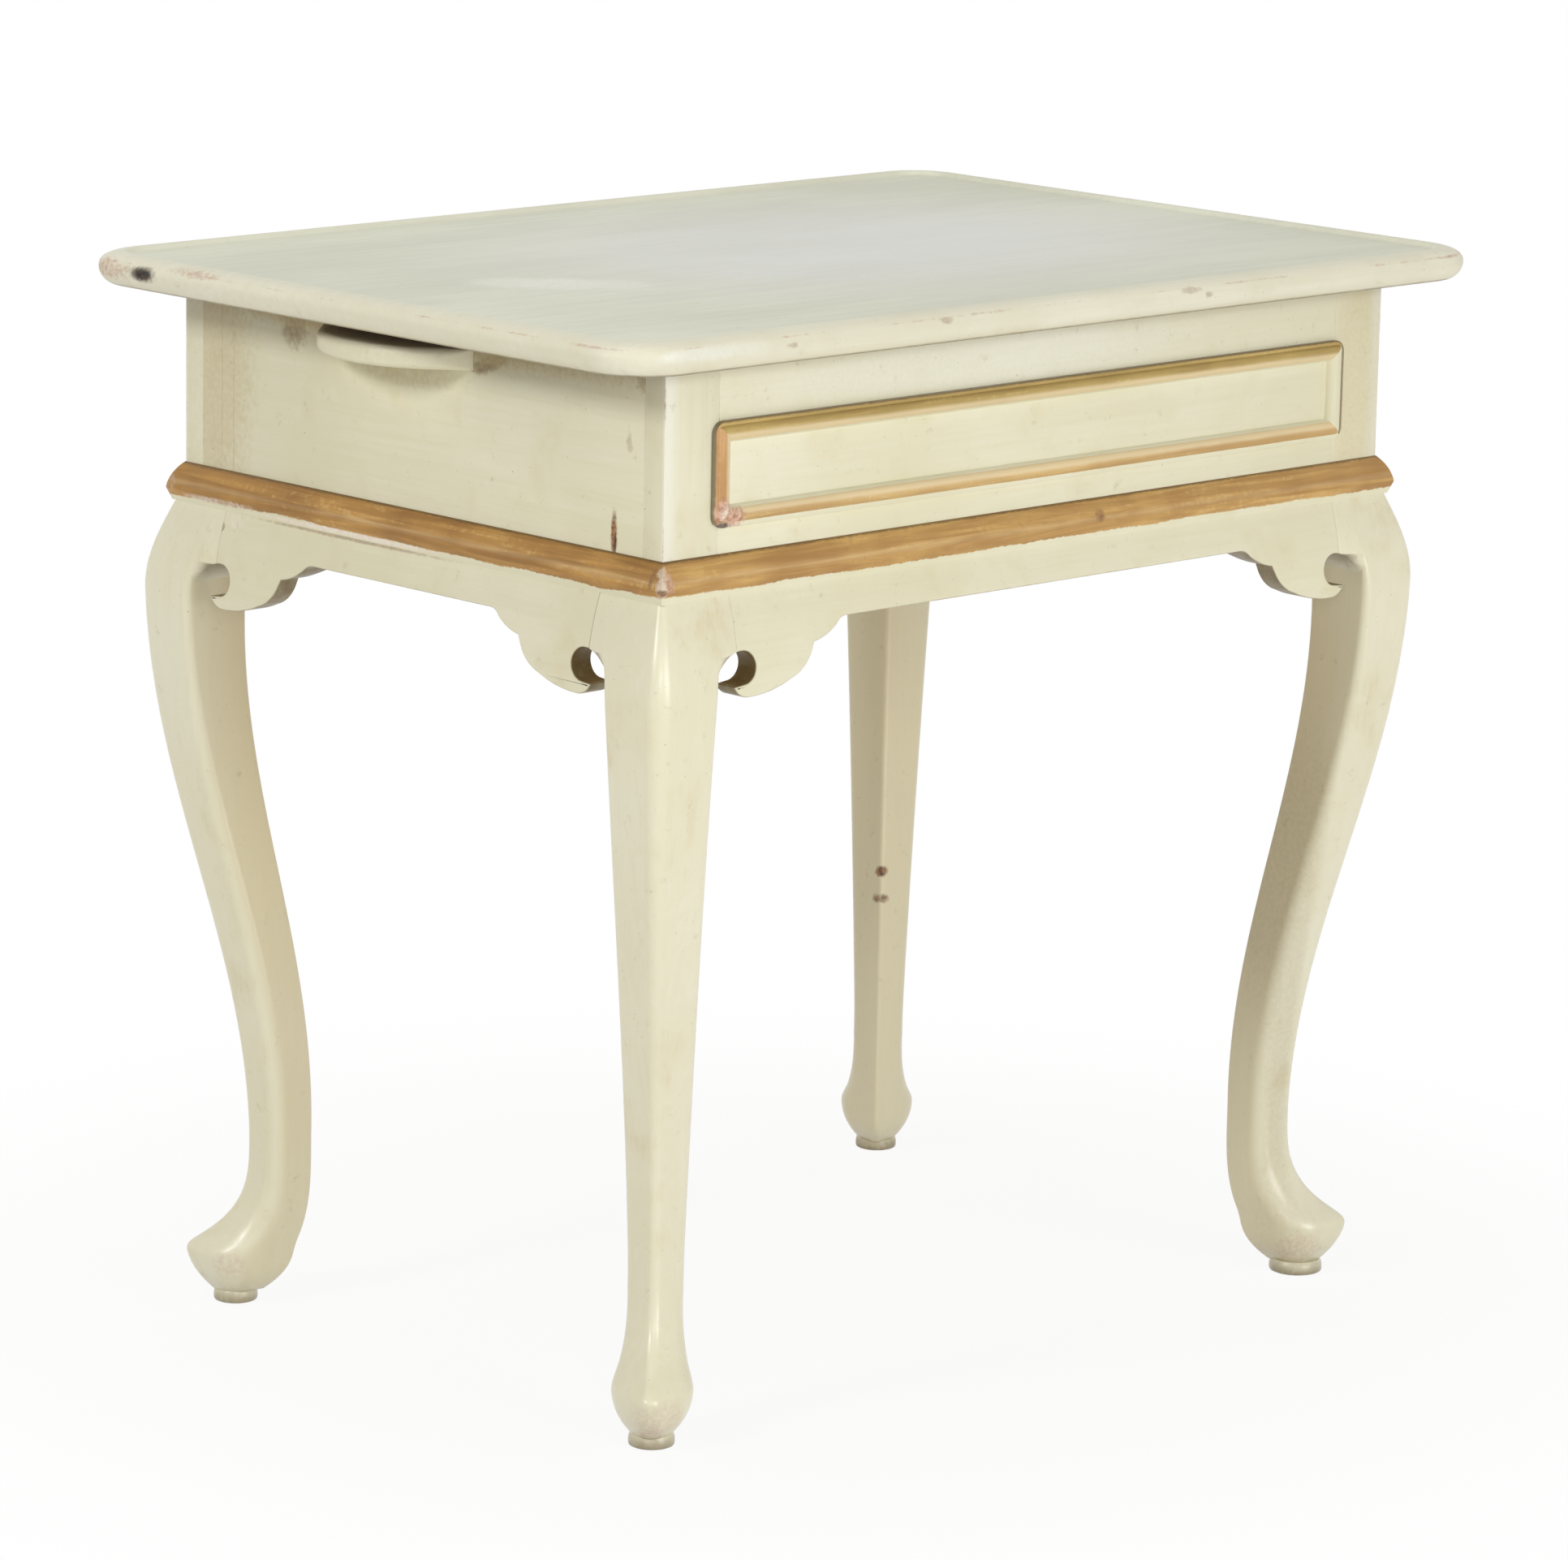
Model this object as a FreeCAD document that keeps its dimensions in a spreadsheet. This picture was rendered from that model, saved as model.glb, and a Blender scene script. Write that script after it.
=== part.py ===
import FreeCAD
import Part
import Sketcher
import math
import os
import re

# Tray top tea table: a tray with a rolled rim on a case that holds a drawer and two candle
# slides, carried by a stand of swelling aprons and four cabriole legs.
# The origin is on the floor under the middle of the top. X runs along the table, the drawer
# opens towards -Y, and Z is up. Lengths are millimetres.

SIZES = (
    # The top
    ("height", 720, "floor to the crest of the rim"),
    ("top_length", 786, "top, over the rolled rim"),
    ("top_width", 552, "top, over the rolled rim"),
    ("top_thickness", 21, "rim crest to the underside"),
    ("top_corner", 45, "plan radius of the corners"),
    ("rim_width", 16, "edge of the top to the crest of the rim"),
    ("rim_sweep", 32, "radius of the slope over the rim"),
    ("nose_radius", 7, "radius of the rolled edge"),
    ("nose_drop", 9.5, "rim crest down to the widest line"),
    ("undercut", 9.5, "underside edge inside the widest line"),
    ("rim_land", 3, "level crest between the rim and the tray"),
    ("tray_depth", 3, "tray field below the crest"),
    # The case
    ("end_overhang", 63.5, "top beyond the ends of the case"),
    ("side_overhang", 42, "top beyond the long sides of the case"),
    ("case_height", 139, "case, from the stand to the top"),
    ("wall", 18, "thickness of the case boards"),
    ("top_rail_height", 44, "top rail over the drawer"),
    ("stile_width", 45.5, "front stiles beside the drawer"),
    ("rail_height", 40, "bottom rail under the drawer"),
    ("frame_tenon", 20, "length of the rail tenons"),
    ("frame_cheek", 5, "wood left on each side of a rail tenon"),
    ("tongue", 6, "thickness of the end board tongues"),
    ("tongue_depth", 8, "depth of the end board tongues"),
    ("moulding_reach", 9.5, "waist moulding beyond the case"),
    ("moulding_rise", 17.5, "waist moulding above the stand"),
    ("moulding_drop", 8, "waist moulding over the edge of the stand"),
    ("moulding_round", 30, "radius of the face of the waist moulding"),
    # The stand
    ("stand_step", 6, "stand beyond the case"),
    ("post", 56, "side of the square leg posts"),
    ("tenon_length", 20, "apron tenons"),
    ("tenon_thickness", 10, "apron tenons"),
    ("tenon_height", 22, "apron tenons"),
    ("tenon_shoulder", 10, "apron tenon below the top of the stand"),
    ("tenon_inset", 7, "apron tenon behind the face of the stand"),
    ("apron_depth", 31, "straight lower edge below the top of the stand"),
    ("apron_swell", 11, "apron face beyond the stand at its lower edge"),
    ("bracket_length", 98, "post to the start of the ogee"),
    ("bracket_depth", 72, "lobe below the top of the stand"),
    ("bracket_thickness", 13, "brackets, thinned from behind"),
    ("ogee_length", 31, "start of the ogee to its cusp"),
    ("ogee_depth", 13, "cusp below the straight edge"),
    ("cavetto_radius", 12, "hollow stretch of the ogee"),
    ("ovolo_radius", 45, "round stretch of the ogee"),
    ("cusp_step", 3.5, "lobe shoulder below the cusp"),
    ("lobe_length", 46, "post to where the lobe flattens"),
    ("lobe_rise", 7.5, "height of the flatter stretch of the lobe"),
    ("lobe_shoulder", 30, "radius of the steep stretch of the lobe"),
    ("lobe_radius", 90, "radius of the flatter stretch of the lobe"),
    ("lobe_foot", 10, "post to the lowest point of the lobe"),
    ("curl_radius", 10.5, "pierced curl beside the leg"),
    ("curl_centre", 5, "post to the middle of the curl"),
    ("curl_depth", 53, "middle of the curl below the top of the stand"),
    ("tip_length", 8.5, "tip of the lobe beyond the middle of the curl"),
    ("tip_radius", 14, "radius under the tip of the lobe"),
    # The legs: heights above the floor, sides of the section, roundings as shares of the side
    ("foot_inset", 24, "middle of the pad inside the corner of the case"),
    ("pad_radius", 18.5, "turned pad under the foot"),
    ("pad_height", 8, "turned pad under the foot"),
    ("sole_side", 36, "section on the pad"),
    ("sole_setback", 1.5, "section on the pad, inside the pad's middle"),
    ("sole_arris", 0.24, "rounding on the diagonal"),
    ("sole_flank", 0.45, "rounding across the diagonal"),
    ("toe_height", 36, "widest section of the foot"),
    ("toe_side", 54.5, "widest section of the foot"),
    ("toe_setback", 2, "widest section, inside the pad's middle"),
    ("toe_arris", 0.09, "rounding on the diagonal"),
    ("toe_flank", 0.4, "rounding across the diagonal"),
    ("ankle_height", 115, "thinnest section"),
    ("ankle_side", 30.5, "thinnest section"),
    ("ankle_setback", 20, "thinnest section, inside the pad's middle"),
    ("ankle_arris", 0.13, "rounding on the diagonal"),
    ("ankle_flank", 0.27, "rounding across the diagonal"),
    ("knee_drop", 70, "furthest point of the knee below the top of the stand"),
    ("knee_side", 52.5, "section of the knee"),
    ("knee_swell", 17, "knee beyond the post"),
    ("knee_arris", 0.24, "rounding on the diagonal"),
    ("knee_flank", 0.1, "rounding across the diagonal"),
    ("post_arris", 0.08, "rounding of the post"),
    ("post_flank", 0.03, "rounding of the post"),
    # The drawer and its seat
    ("drawer_back_gap", 10.3, "drawer to the back of the case"),
    ("drawer_gap", 1, "clearance round the drawer front"),
    ("drawer_drop", 2, "drawer sides below the front's top edge"),
    ("running_gap", 0.3, "clearance between sliding faces"),
    ("front_thickness", 18, "drawer front"),
    ("front_lap", 5, "drawer front before its dovetails"),
    ("side_thickness", 12, "drawer sides"),
    ("back_thickness", 10, "drawer back"),
    ("back_drop", 4, "drawer back below the sides"),
    ("bottom_thickness", 6, "drawer bottom"),
    ("bottom_rise", 7, "drawer bottom above the edge of the sides"),
    ("groove_depth", 5, "grooves for the drawer bottom"),
    ("tail_root", 0.5, "dovetail at its root, as a share of its pitch"),
    ("tail_tip", 0.7, "dovetail at its end, as a share of its pitch"),
    ("bead_width", 14, "gilt bead round the drawer"),
    ("bead_lap", 6, "bead beyond the drawer opening"),
    ("bead_fillet", 2.5, "flat edge of the bead"),
    ("bead_edge", 3.2, "height of the flat edge"),
    ("bead_round", 6.4, "radius of the bead"),
    ("runner_width", 43, "runners, guides and kickers reach in from the ends"),
    ("guide_height", 22, "drawer guides"),
    ("guide_gap", 0.6, "drawer side to its guide"),
    ("kicker_gap", 1, "drawer side to its kicker"),
    # The candle slides
    ("slide_width", 146, "slide boards"),
    ("slide_thickness", 14, "slide boards"),
    ("slide_setback", 18, "middle of the slides behind the middle of the case"),
    ("slide_travel", 220, "until the peg meets the end board"),
    ("lip_reach", 42, "half-moon lip beyond the case"),
    ("lip_bevel", 4, "bevel of the lip"),
    ("finger_gap", 11, "slide to the underside of the top"),
    ("slot_gap", 0.6, "slide to the sides of its slot"),
    ("batten_width", 34, "grooved slide guides"),
    ("batten_groove", 10, "depth of their groove"),
    ("batten_floor", 6.7, "wood under their groove"),
    ("stop_width", 24, "block between the two slides"),
    ("peg_radius", 5, "stop pegs"),
    ("peg_length", 6, "stop peg below the slide"),
    ("peg_depth", 8, "stop peg inside the slide"),
    # The glue blocks
    ("block_side", 20, "side of a glue block"),
    ("block_length", 70, "length of a glue block"),
)

# Sizes that follow from the ones above
FOLLOWS = {
    "stand_height": "height - top_thickness - case_height",
    "case_length": "top_length - 2 * end_overhang",
    "case_width": "top_width - 2 * side_overhang",
    "opening_length": "case_length - 2 * stile_width",
    "opening_height": "case_height - top_rail_height - rail_height",
}

TOP_LOW = "(height - top_thickness)"
CASE_X = "(case_length / 2)"
CASE_Y = "(case_width / 2)"
INNER_X = "(case_length / 2 - wall)"
INNER_Y = "(case_width / 2 - wall)"
POST_X = "(case_length / 2 + stand_step - post)"
POST_Y = "(case_width / 2 + stand_step - post)"
POST_FACE = "(foot_inset + stand_step)"
POST_LOW = "(stand_height - curl_depth + curl_radius)"
SHOULDER = "(stand_height - moulding_drop)"
APRON_LOW = "(stand_height - apron_depth)"
BRACKET_LOW = "(stand_height - bracket_depth)"
APRON_ROUND = f"((apron_swell ^ 2 + ({SHOULDER} - {BRACKET_LOW}) ^ 2) / (2 * apron_swell))"
OPEN_X = "(opening_length / 2)"
OPEN_LOW = "(stand_height + rail_height)"
OPEN_HIGH = "(stand_height + rail_height + opening_height)"
SLIDE_HIGH = "(height - top_thickness - finger_gap)"
SLIDE_LOW = "(height - top_thickness - finger_gap - slide_thickness)"
BATTEN_LOW = f"({SLIDE_LOW} - running_gap - batten_floor)"
DRAWER_X = f"({OPEN_X} - drawer_gap)"
DRAWER_FACE = f"(-{CASE_Y} - running_gap)"
DRAWER_BACK = f"({INNER_Y} - drawer_back_gap)"
DRAWER_LOW = f"({OPEN_LOW} + drawer_gap)"
DRAWER_HIGH = f"({OPEN_HIGH} - drawer_gap - drawer_drop)"
# How far a cutter runs past the wood, what is left on an apron for working its face back,
# the dovetails of a drawer side and the flats on each corner of a leg
MARGIN = 5
STOCK = 2
TAILS = 3
FLATS = 2

doc = FreeCAD.newDocument("TeaTable")
sheet = doc.addObject("Spreadsheet::Sheet", "Sizes")
for row, (name, size, note) in enumerate(SIZES, start=1):
    sheet.set(f"A{row}", name)
    sheet.set(f"B{row}", str(size))
    sheet.setAlias(f"B{row}", name)
    sheet.set(f"C{row}", note)
doc.recompute()

NAMES = {name for name, size, note in SIZES}
pieces = []


def bind(formula):
    """Point the names in a formula at their cells, and spell out the sizes that follow from others."""
    def spell(word):
        name = word[0]
        if name in FOLLOWS:
            return f"({bind(FOLLOWS[name])})"
        return f"Sizes.{name}" if name in NAMES else name
    return re.sub(r"[a-z]\w*", spell, str(formula))


def value(formula):
    """Work out a formula."""
    return float(sheet.evalExpression(bind(formula)))


def piece(solid, label):
    """Name a finished sub-part and keep it for the check and the export."""
    solid.Label = label
    pieces.append(solid)
    return solid


def box(x, y, z):
    """Make a block between a low and a high formula along each axis."""
    block = doc.addObject("Part::Box", "block")
    for axis, side, (low, high) in zip("xyz", ("Length", "Width", "Height"), (x, y, z)):
        block.setExpression(side, bind(f"({high}) - ({low})"))
        block.setExpression(f"Placement.Base.{axis}", bind(low))
    return block


def cut(base, tool):
    """Take one solid away from another."""
    remains = doc.addObject("Part::Cut", "cut")
    remains.Base = base
    remains.Tool = tool
    return remains


def board(label, x, y, z, tenons=(), housings=()):
    """Make a sawn board with the tenons that it has and the housings cut into it."""
    solid = box(x, y, z)
    if tenons:
        joined = doc.addObject("Part::MultiFuse", "joined")
        joined.Shapes = [solid] + [box(*tenon) for tenon in tenons]
        joined.Refine = True
        solid = joined
    for housing in housings:
        solid = cut(solid, box(*housing))
    return piece(solid, label)


def group(label, blocks):
    """Keep separate blocks together in one sub-part."""
    compound = doc.addObject("Part::Compound", "group")
    compound.Links = [box(*block) for block in blocks]
    return piece(compound, label)


def mirrored(source, label, normal):
    """Repeat a sub-part on the other side of the table."""
    twin = doc.addObject("Part::Mirroring", "twin")
    twin.Source = source
    twin.Normal = normal
    return piece(twin, label)


def outline(sketch, corners):
    """Close a sketch through its corners, each a pair of formulas and perhaps a bend.

    A bend is the radius of the edge to the next corner, with a minus sign where that edge
    is hollow. The corners run anticlockwise, with the solid on the left.
    """
    points = [FreeCAD.Vector(value(corner[0]), value(corner[1])) for corner in corners]
    ends = []
    for index, corner in enumerate(corners):
        start = points[index]
        finish = points[(index + 1) % len(points)]
        if len(corner) == 2:
            edge = Part.LineSegment(start, finish)
            ends.append((1, 2))
        else:
            radius = value(corner[2])
            chord = finish - start
            across = FreeCAD.Vector(-chord.y, chord.x, 0) / chord.Length
            rise = math.sqrt(radius ** 2 - chord.Length ** 2 / 4)
            centre = (start + finish) / 2 + across * math.copysign(rise, radius)
            order = (start, finish) if radius > 0 else (finish, start)
            angles = [math.atan2(point.y - centre.y, point.x - centre.x) for point in order]
            circle = Part.Circle(centre, FreeCAD.Vector(0, 0, 1), abs(radius))
            edge = Part.ArcOfCircle(circle, *angles)
            ends.append((1, 2) if radius > 0 else (2, 1))
        sketch.addGeometry(edge, False)
    for index, corner in enumerate(corners):
        following = (index + 1) % len(corners)
        joint = Sketcher.Constraint("Coincident", index, ends[index][1], following, ends[following][0])
        sketch.addConstraint(joint)
        for kind, formula in zip(("DistanceX", "DistanceY"), corner):
            place = Sketcher.Constraint(kind, -1, 1, index, ends[index][0], value(formula))
            number = sketch.addConstraint(place)
            sketch.setExpression(f"Constraints[{number}]", bind(formula))
        if len(corner) == 3:
            number = sketch.addConstraint(Sketcher.Constraint("Radius", index, abs(value(corner[2]))))
            sketch.setExpression(f"Constraints[{number}]", bind(f"abs({corner[2]})"))


def draw(body, plane, corners, offset=("0", "0", "0")):
    """Draw an outline on one of the body's own planes, moved by an offset within it and off it."""
    sketch = body.newObject("Sketcher::SketchObject", "outline")
    support = next(part for part in body.Origin.OriginFeatures if part.Role == plane)
    sketch.AttachmentSupport = (support, [""])
    sketch.MapMode = "FlatFace"
    for axis, formula in zip("xyz", offset):
        sketch.setExpression(f"AttachmentOffset.Base.{axis}", bind(formula))
    outline(sketch, corners)
    return sketch


def pad(body, sketch, length, side="One side", reverse=False):
    """Raise a sketch."""
    feature = body.newObject("PartDesign::Pad", "pad")
    feature.Profile = sketch
    feature.setExpression("Length", bind(length))
    feature.SideType = side
    feature.Reversed = reverse
    return feature


def pocket(body, sketch, length=None):
    """Sink a sketch to a depth, or through everything on both sides, and see that it cuts."""
    doc.recompute()
    before = body.Shape.Volume
    feature = body.newObject("PartDesign::Pocket", "pocket")
    feature.Profile = sketch
    if length is None:
        feature.Type = "ThroughAll"
        feature.SideType = "Symmetric"
    else:
        feature.setExpression("Length", bind(length))
    doc.recompute()
    if body.Shape.Volume >= before:
        raise RuntimeError(f"a pocket of {body.Label} cuts nothing")
    return feature


def bevel(body, base, size, chosen):
    """Bevel the edges of a feature that a test picks out."""
    doc.recompute()
    feature = body.newObject("PartDesign::Chamfer", "bevel")
    edges = base.Shape.Edges
    names = [f"Edge{number}" for number, edge in enumerate(edges, start=1) if chosen(edge)]
    feature.Base = (base, names)
    feature.setExpression("Size", bind(size))
    return feature


def place(body, x="0", y="0", z="0", turn=FreeCAD.Rotation()):
    """Put a body where it belongs."""
    body.Placement = FreeCAD.Placement(FreeCAD.Vector(), turn)
    for axis, formula in zip("xyz", (x, y, z)):
        body.setExpression(f"Placement.Base.{axis}", bind(formula))


def rounded_rectangle(half_x, half_y, radius):
    """List the corners of a rectangle with round corners."""
    return [
        (half_x, f"-({half_y}) + {radius}"),
        (half_x, f"{half_y} - {radius}", radius),
        (f"{half_x} - {radius}", half_y),
        (f"-({half_x}) + {radius}", half_y, radius),
        (f"-({half_x})", f"{half_y} - {radius}"),
        (f"-({half_x})", f"-({half_y}) + {radius}", radius),
        (f"-({half_x}) + {radius}", f"-({half_y})"),
        (f"{half_x} - {radius}", f"-({half_y})", radius),
    ]


def top_board():
    """Make the tray: a board with its rim rolled by a moulding cutter and its field sunk."""
    body = doc.addObject("PartDesign::Body", "top")
    half_x = "top_length / 2"
    half_y = "top_width / 2"
    base = pad(body, draw(body, "XY_Plane", rounded_rectangle(half_x, half_y, "top_corner"),
                          ("0", "0", TOP_LOW)), "top_thickness")
    around = rounded_rectangle(half_x, half_y, "top_corner")
    path = draw(body, "XY_Plane", [(half_x, "0")] + around[1:] + around[:1], ("0", "0", TOP_LOW))
    nose = math.radians(65)
    under = "(undercut ^ 2 + (top_thickness - nose_drop) ^ 2) / (2 * undercut)"
    cutter = draw(body, "XZ_Plane", [
        (f"{half_x} - rim_width", "height", "-rim_sweep"),
        (f"{half_x} - nose_radius * {1 - math.cos(nose):.4f}",
         f"height - nose_drop + nose_radius * {math.sin(nose):.4f}", "-nose_radius"),
        (half_x, "height - nose_drop", f"-{under}"),
        (f"{half_x} - undercut", TOP_LOW),
        (f"{half_x} - undercut", f"{TOP_LOW} - {MARGIN}"),
        (f"{half_x} + {MARGIN}", f"{TOP_LOW} - {MARGIN}"),
        (f"{half_x} + {MARGIN}", f"height + {MARGIN}"),
        (f"{half_x} - rim_width", f"height + {MARGIN}"),
    ])
    doc.recompute()
    rim = body.newObject("PartDesign::SubtractivePipe", "rim")
    rim.Profile = cutter
    rim.Spine = (path, [f"Edge{number}" for number in range(1, len(around) + 2)])
    doc.recompute()
    if body.Shape.Volume >= base.Shape.Volume:
        raise RuntimeError("the moulding cutter misses the rim")
    edge = "(rim_width + rim_land)"
    field = draw(body, "XY_Plane", rounded_rectangle(f"{half_x} - {edge}", f"{half_y} - {edge}",
                                                     f"(top_corner - {edge})"), ("0", "0", "height"))
    pocket(body, field, "tray_depth")
    return piece(body, "top_board")


def section(body, height, centre, side, arris, flank):
    """Draw one section of a leg: a square whose rounded corners are worked as narrow flats."""
    corners = []
    for quarter, share in enumerate((arris, flank, arris, flank)):
        middle = math.radians(90 * quarter + 45)
        inset = f"({side}) * (0.5 - ({share}))"
        for flat in range(FLATS + 1):
            angle = math.radians(90 * (quarter + flat / FLATS))
            corners.append(tuple(
                f"{math.copysign(1, ray(middle)):.0f} * {inset} + ({side}) * ({share}) * {ray(angle):.5f}"
                for ray in (math.cos, math.sin)))
    return draw(body, "XY_Plane", corners, (centre, centre, height))


def between(low, high, share):
    """Write the formula of a value part of the way from one formula to another."""
    return f"({low}) + (({high}) - ({low})) * {share:.5f}"


def wing(body, share):
    """Draw a section of the post where it swells to stay flush with the aprons and the knee."""
    height = between(POST_LOW, SHOULDER, share)
    knee = "(stand_height - knee_drop)"
    rise = f"(sqrt({APRON_ROUND} ^ 2 - ({height} - {BRACKET_LOW}) ^ 2) - {APRON_ROUND} + apron_swell)"
    swell = f"(knee_swell * cos(90 * ({height} - {knee}) / ({SHOULDER} - {knee})))"
    corner = "knee_side * knee_arris"
    inner = f"{POST_FACE} - post"
    half = [
        (f"{inner} + {corner}", inner),
        (f"{POST_FACE} + {rise}", inner),
        (f"{POST_FACE} + {swell}", f"{POST_FACE} + {swell} - knee_side"),
        (f"{POST_FACE} + {swell}", f"{POST_FACE} + {swell} - {corner}"),
    ]
    return draw(body, "XY_Plane", half + [(y, x) for x, y in reversed(half)], ("0", "0", height))


def leg():
    """Make the back right leg: a loft from the sole to the shoulder, with post and pad."""
    body = doc.addObject("PartDesign::Body", "leg")
    sole = ("pad_height", "-sole_setback", "sole_side", "sole_arris", "sole_flank")
    toe = ("toe_height", "-toe_setback", "toe_side", "toe_arris", "toe_flank")
    ankle = ("ankle_height", "-ankle_setback", "ankle_side", "ankle_arris", "ankle_flank")
    knee = ("stand_height - knee_drop", f"{POST_FACE} + knee_swell - knee_side / 2", "knee_side",
            "knee_arris", "knee_flank")
    shoulder = (SHOULDER, f"{POST_FACE} - knee_side / 2", "knee_side", "post_arris", "post_flank")

    def round_under(share):
        return 1 - (1 - share) ** 1.8

    def flare(share):
        return 1 - (1 - share) ** 3.3

    def sway(share):
        return (1 - math.cos(math.pi * share)) / 2

    def taper(share):
        return share ** 1.15

    def swell(share):
        return 1 - math.cos(math.pi * share / 2)

    # Each stretch: its two ends, where its sections lie, and how centre and side change along it
    stretches = (
        (sole, toe, (0, 0.3, 0.6, 1), round_under, round_under),
        (toe, ankle, (0, 0.08, 0.2, 0.45, 1), flare, flare),
        (ankle, knee, (0, 0.25, 0.5, 0.75, 1), sway, taper),
        (knee, shoulder, (0, 0.5, 1), swell, swell),
    )
    for low, high, shares, move, grow in stretches:
        sections = []
        for share in shares:
            steps = (share, move(share), grow(share), share, share)
            sections.append(section(body, *map(between, low, high, steps)))
        loft = body.newObject("PartDesign::AdditiveLoft", "loft")
        loft.Profile = sections[0]
        loft.Sections = sections[1:]
    post = section(body, POST_LOW, f"{POST_FACE} - post / 2", "post", "post_arris", "post_flank")
    pad(body, post, f"stand_height - {POST_LOW}")
    wings = body.newObject("PartDesign::AdditiveLoft", "wings")
    wings.Profile, *wings.Sections = [wing(body, share) for share in (0, 0.5, 1)]
    foot = body.newObject("PartDesign::AdditiveCylinder", "foot")
    foot.setExpression("Radius", bind("pad_radius"))
    foot.setExpression("Height", bind("pad_height"))
    near = f"{POST_FACE} - tenon_inset - tenon_thickness"
    high = "stand_height - tenon_shoulder"
    deep = f"{POST_FACE} - post + tenon_length"
    mortise = [
        (f"{POST_FACE} - post - {MARGIN}", f"{high} - tenon_height"),
        (deep, f"{high} - tenon_height"),
        (deep, high),
        (f"{POST_FACE} - post - {MARGIN}", high),
    ]
    pocket(body, draw(body, "XZ_Plane", mortise, ("0", "0", f"-({near})")), "tenon_thickness")
    far = f"{POST_FACE} - tenon_inset"
    pocket(body, draw(body, "YZ_Plane", mortise, ("0", "0", far)), "tenon_thickness")
    place(body, f"{CASE_X} - foot_inset", f"{CASE_Y} - foot_inset")
    return piece(body, "leg_back_right")


def bracket(half):
    """List the corners of an apron's lower edge from its straight middle to the top at a post."""
    curl = "(stand_height - curl_depth)"
    cusp = f"{half} - bracket_length + ogee_length"
    return [
        (f"{half} - bracket_length", APRON_LOW, "-cavetto_radius"),
        (f"{half} - bracket_length + ogee_length / 3", f"{APRON_LOW} - ogee_depth / 3", "ovolo_radius"),
        (cusp, f"{APRON_LOW} - ogee_depth"),
        (f"{cusp} + cusp_step / 2", f"{APRON_LOW} - ogee_depth - cusp_step", "lobe_shoulder"),
        (f"{half} - lobe_length", f"{BRACKET_LOW} + lobe_rise", "lobe_radius"),
        (f"{half} - lobe_foot", BRACKET_LOW, "tip_radius"),
        (f"{half} - curl_centre + tip_length", f"{curl} - curl_radius - 1"),
        (f"{half} - curl_centre", f"{curl} - curl_radius", "-curl_radius"),
        (f"{half} - curl_centre - curl_radius", curl, "-curl_radius"),
        (f"{half} - curl_centre", f"{curl} + curl_radius"),
        (half, f"{curl} + curl_radius"),
        (half, "stand_height"),
    ]


def other_half(corners):
    """Turn the corners of a right half into those of the left half, in drawing order."""
    bends = [corner[2:] for corner in corners]
    turned = []
    for index in range(len(corners) - 1, -1, -1):
        bend = bends[index - 1] if index else ()
        turned.append((f"-({corners[index][0]})", corners[index][1]) + bend)
    return turned


def apron(label, half, inner):
    """Make an apron along X with its face towards +Y: outline, swelling face and tenons."""
    body = doc.addObject("PartDesign::Body", "apron")
    right = bracket(half)
    board_outline = draw(body, "XZ_Plane", right + other_half(right), ("0", "0", f"-{inner}"))
    pad(body, board_outline, f"wall + stand_step + apron_swell + {STOCK}", reverse=True)
    face = f"({inner} + wall + stand_step)"
    pocket(body, draw(body, "YZ_Plane", [
        (f"{face} + apron_swell", BRACKET_LOW),
        (f"{face} + apron_swell", f"{BRACKET_LOW} - {MARGIN}"),
        (f"{face} + apron_swell + {MARGIN}", f"{BRACKET_LOW} - {MARGIN}"),
        (f"{face} + apron_swell + {MARGIN}", f"stand_height + {MARGIN}"),
        (face, f"stand_height + {MARGIN}"),
        (face, SHOULDER, f"-{APRON_ROUND}"),
    ]))
    back = f"{face} + apron_swell - bracket_thickness"
    pocket(body, draw(body, "YZ_Plane", [
        (f"{inner} - {MARGIN}", f"{BRACKET_LOW} - {MARGIN}"),
        (back, f"{BRACKET_LOW} - {MARGIN}"),
        (back, POST_LOW),
        (inner, APRON_LOW),
        (f"{inner} - {MARGIN}", APRON_LOW),
    ]))
    reach = f"({half} + tenon_length)"
    high = "stand_height - tenon_shoulder"
    tenon = draw(body, "XZ_Plane", [
        (f"-{reach}", f"{high} - tenon_height"),
        (reach, f"{high} - tenon_height"),
        (reach, high),
        (f"-{reach}", high),
    ], ("0", "0", f"-({face} - tenon_inset)"))
    pad(body, tenon, "tenon_thickness")
    return piece(body, label)


def strip(label, profile, length, width):
    """Make a moulding along X, mitred so that it shortens from its long edge inwards (+Y)."""
    body = doc.addObject("PartDesign::Body", "strip")
    pad(body, draw(body, "YZ_Plane", profile), length, side="Symmetric")
    for end in (1, -1):
        waste = [
            (f"{end} * (({length}) / 2 + {MARGIN})", -MARGIN),
            (f"{end} * (({length}) / 2 + {MARGIN})", f"{width} + {MARGIN}"),
            (f"{end} * (({length}) / 2 - {width} - {MARGIN})", f"{width} + {MARGIN}"),
        ]
        pocket(body, draw(body, "XY_Plane", waste))
    return piece(body, label)


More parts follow.
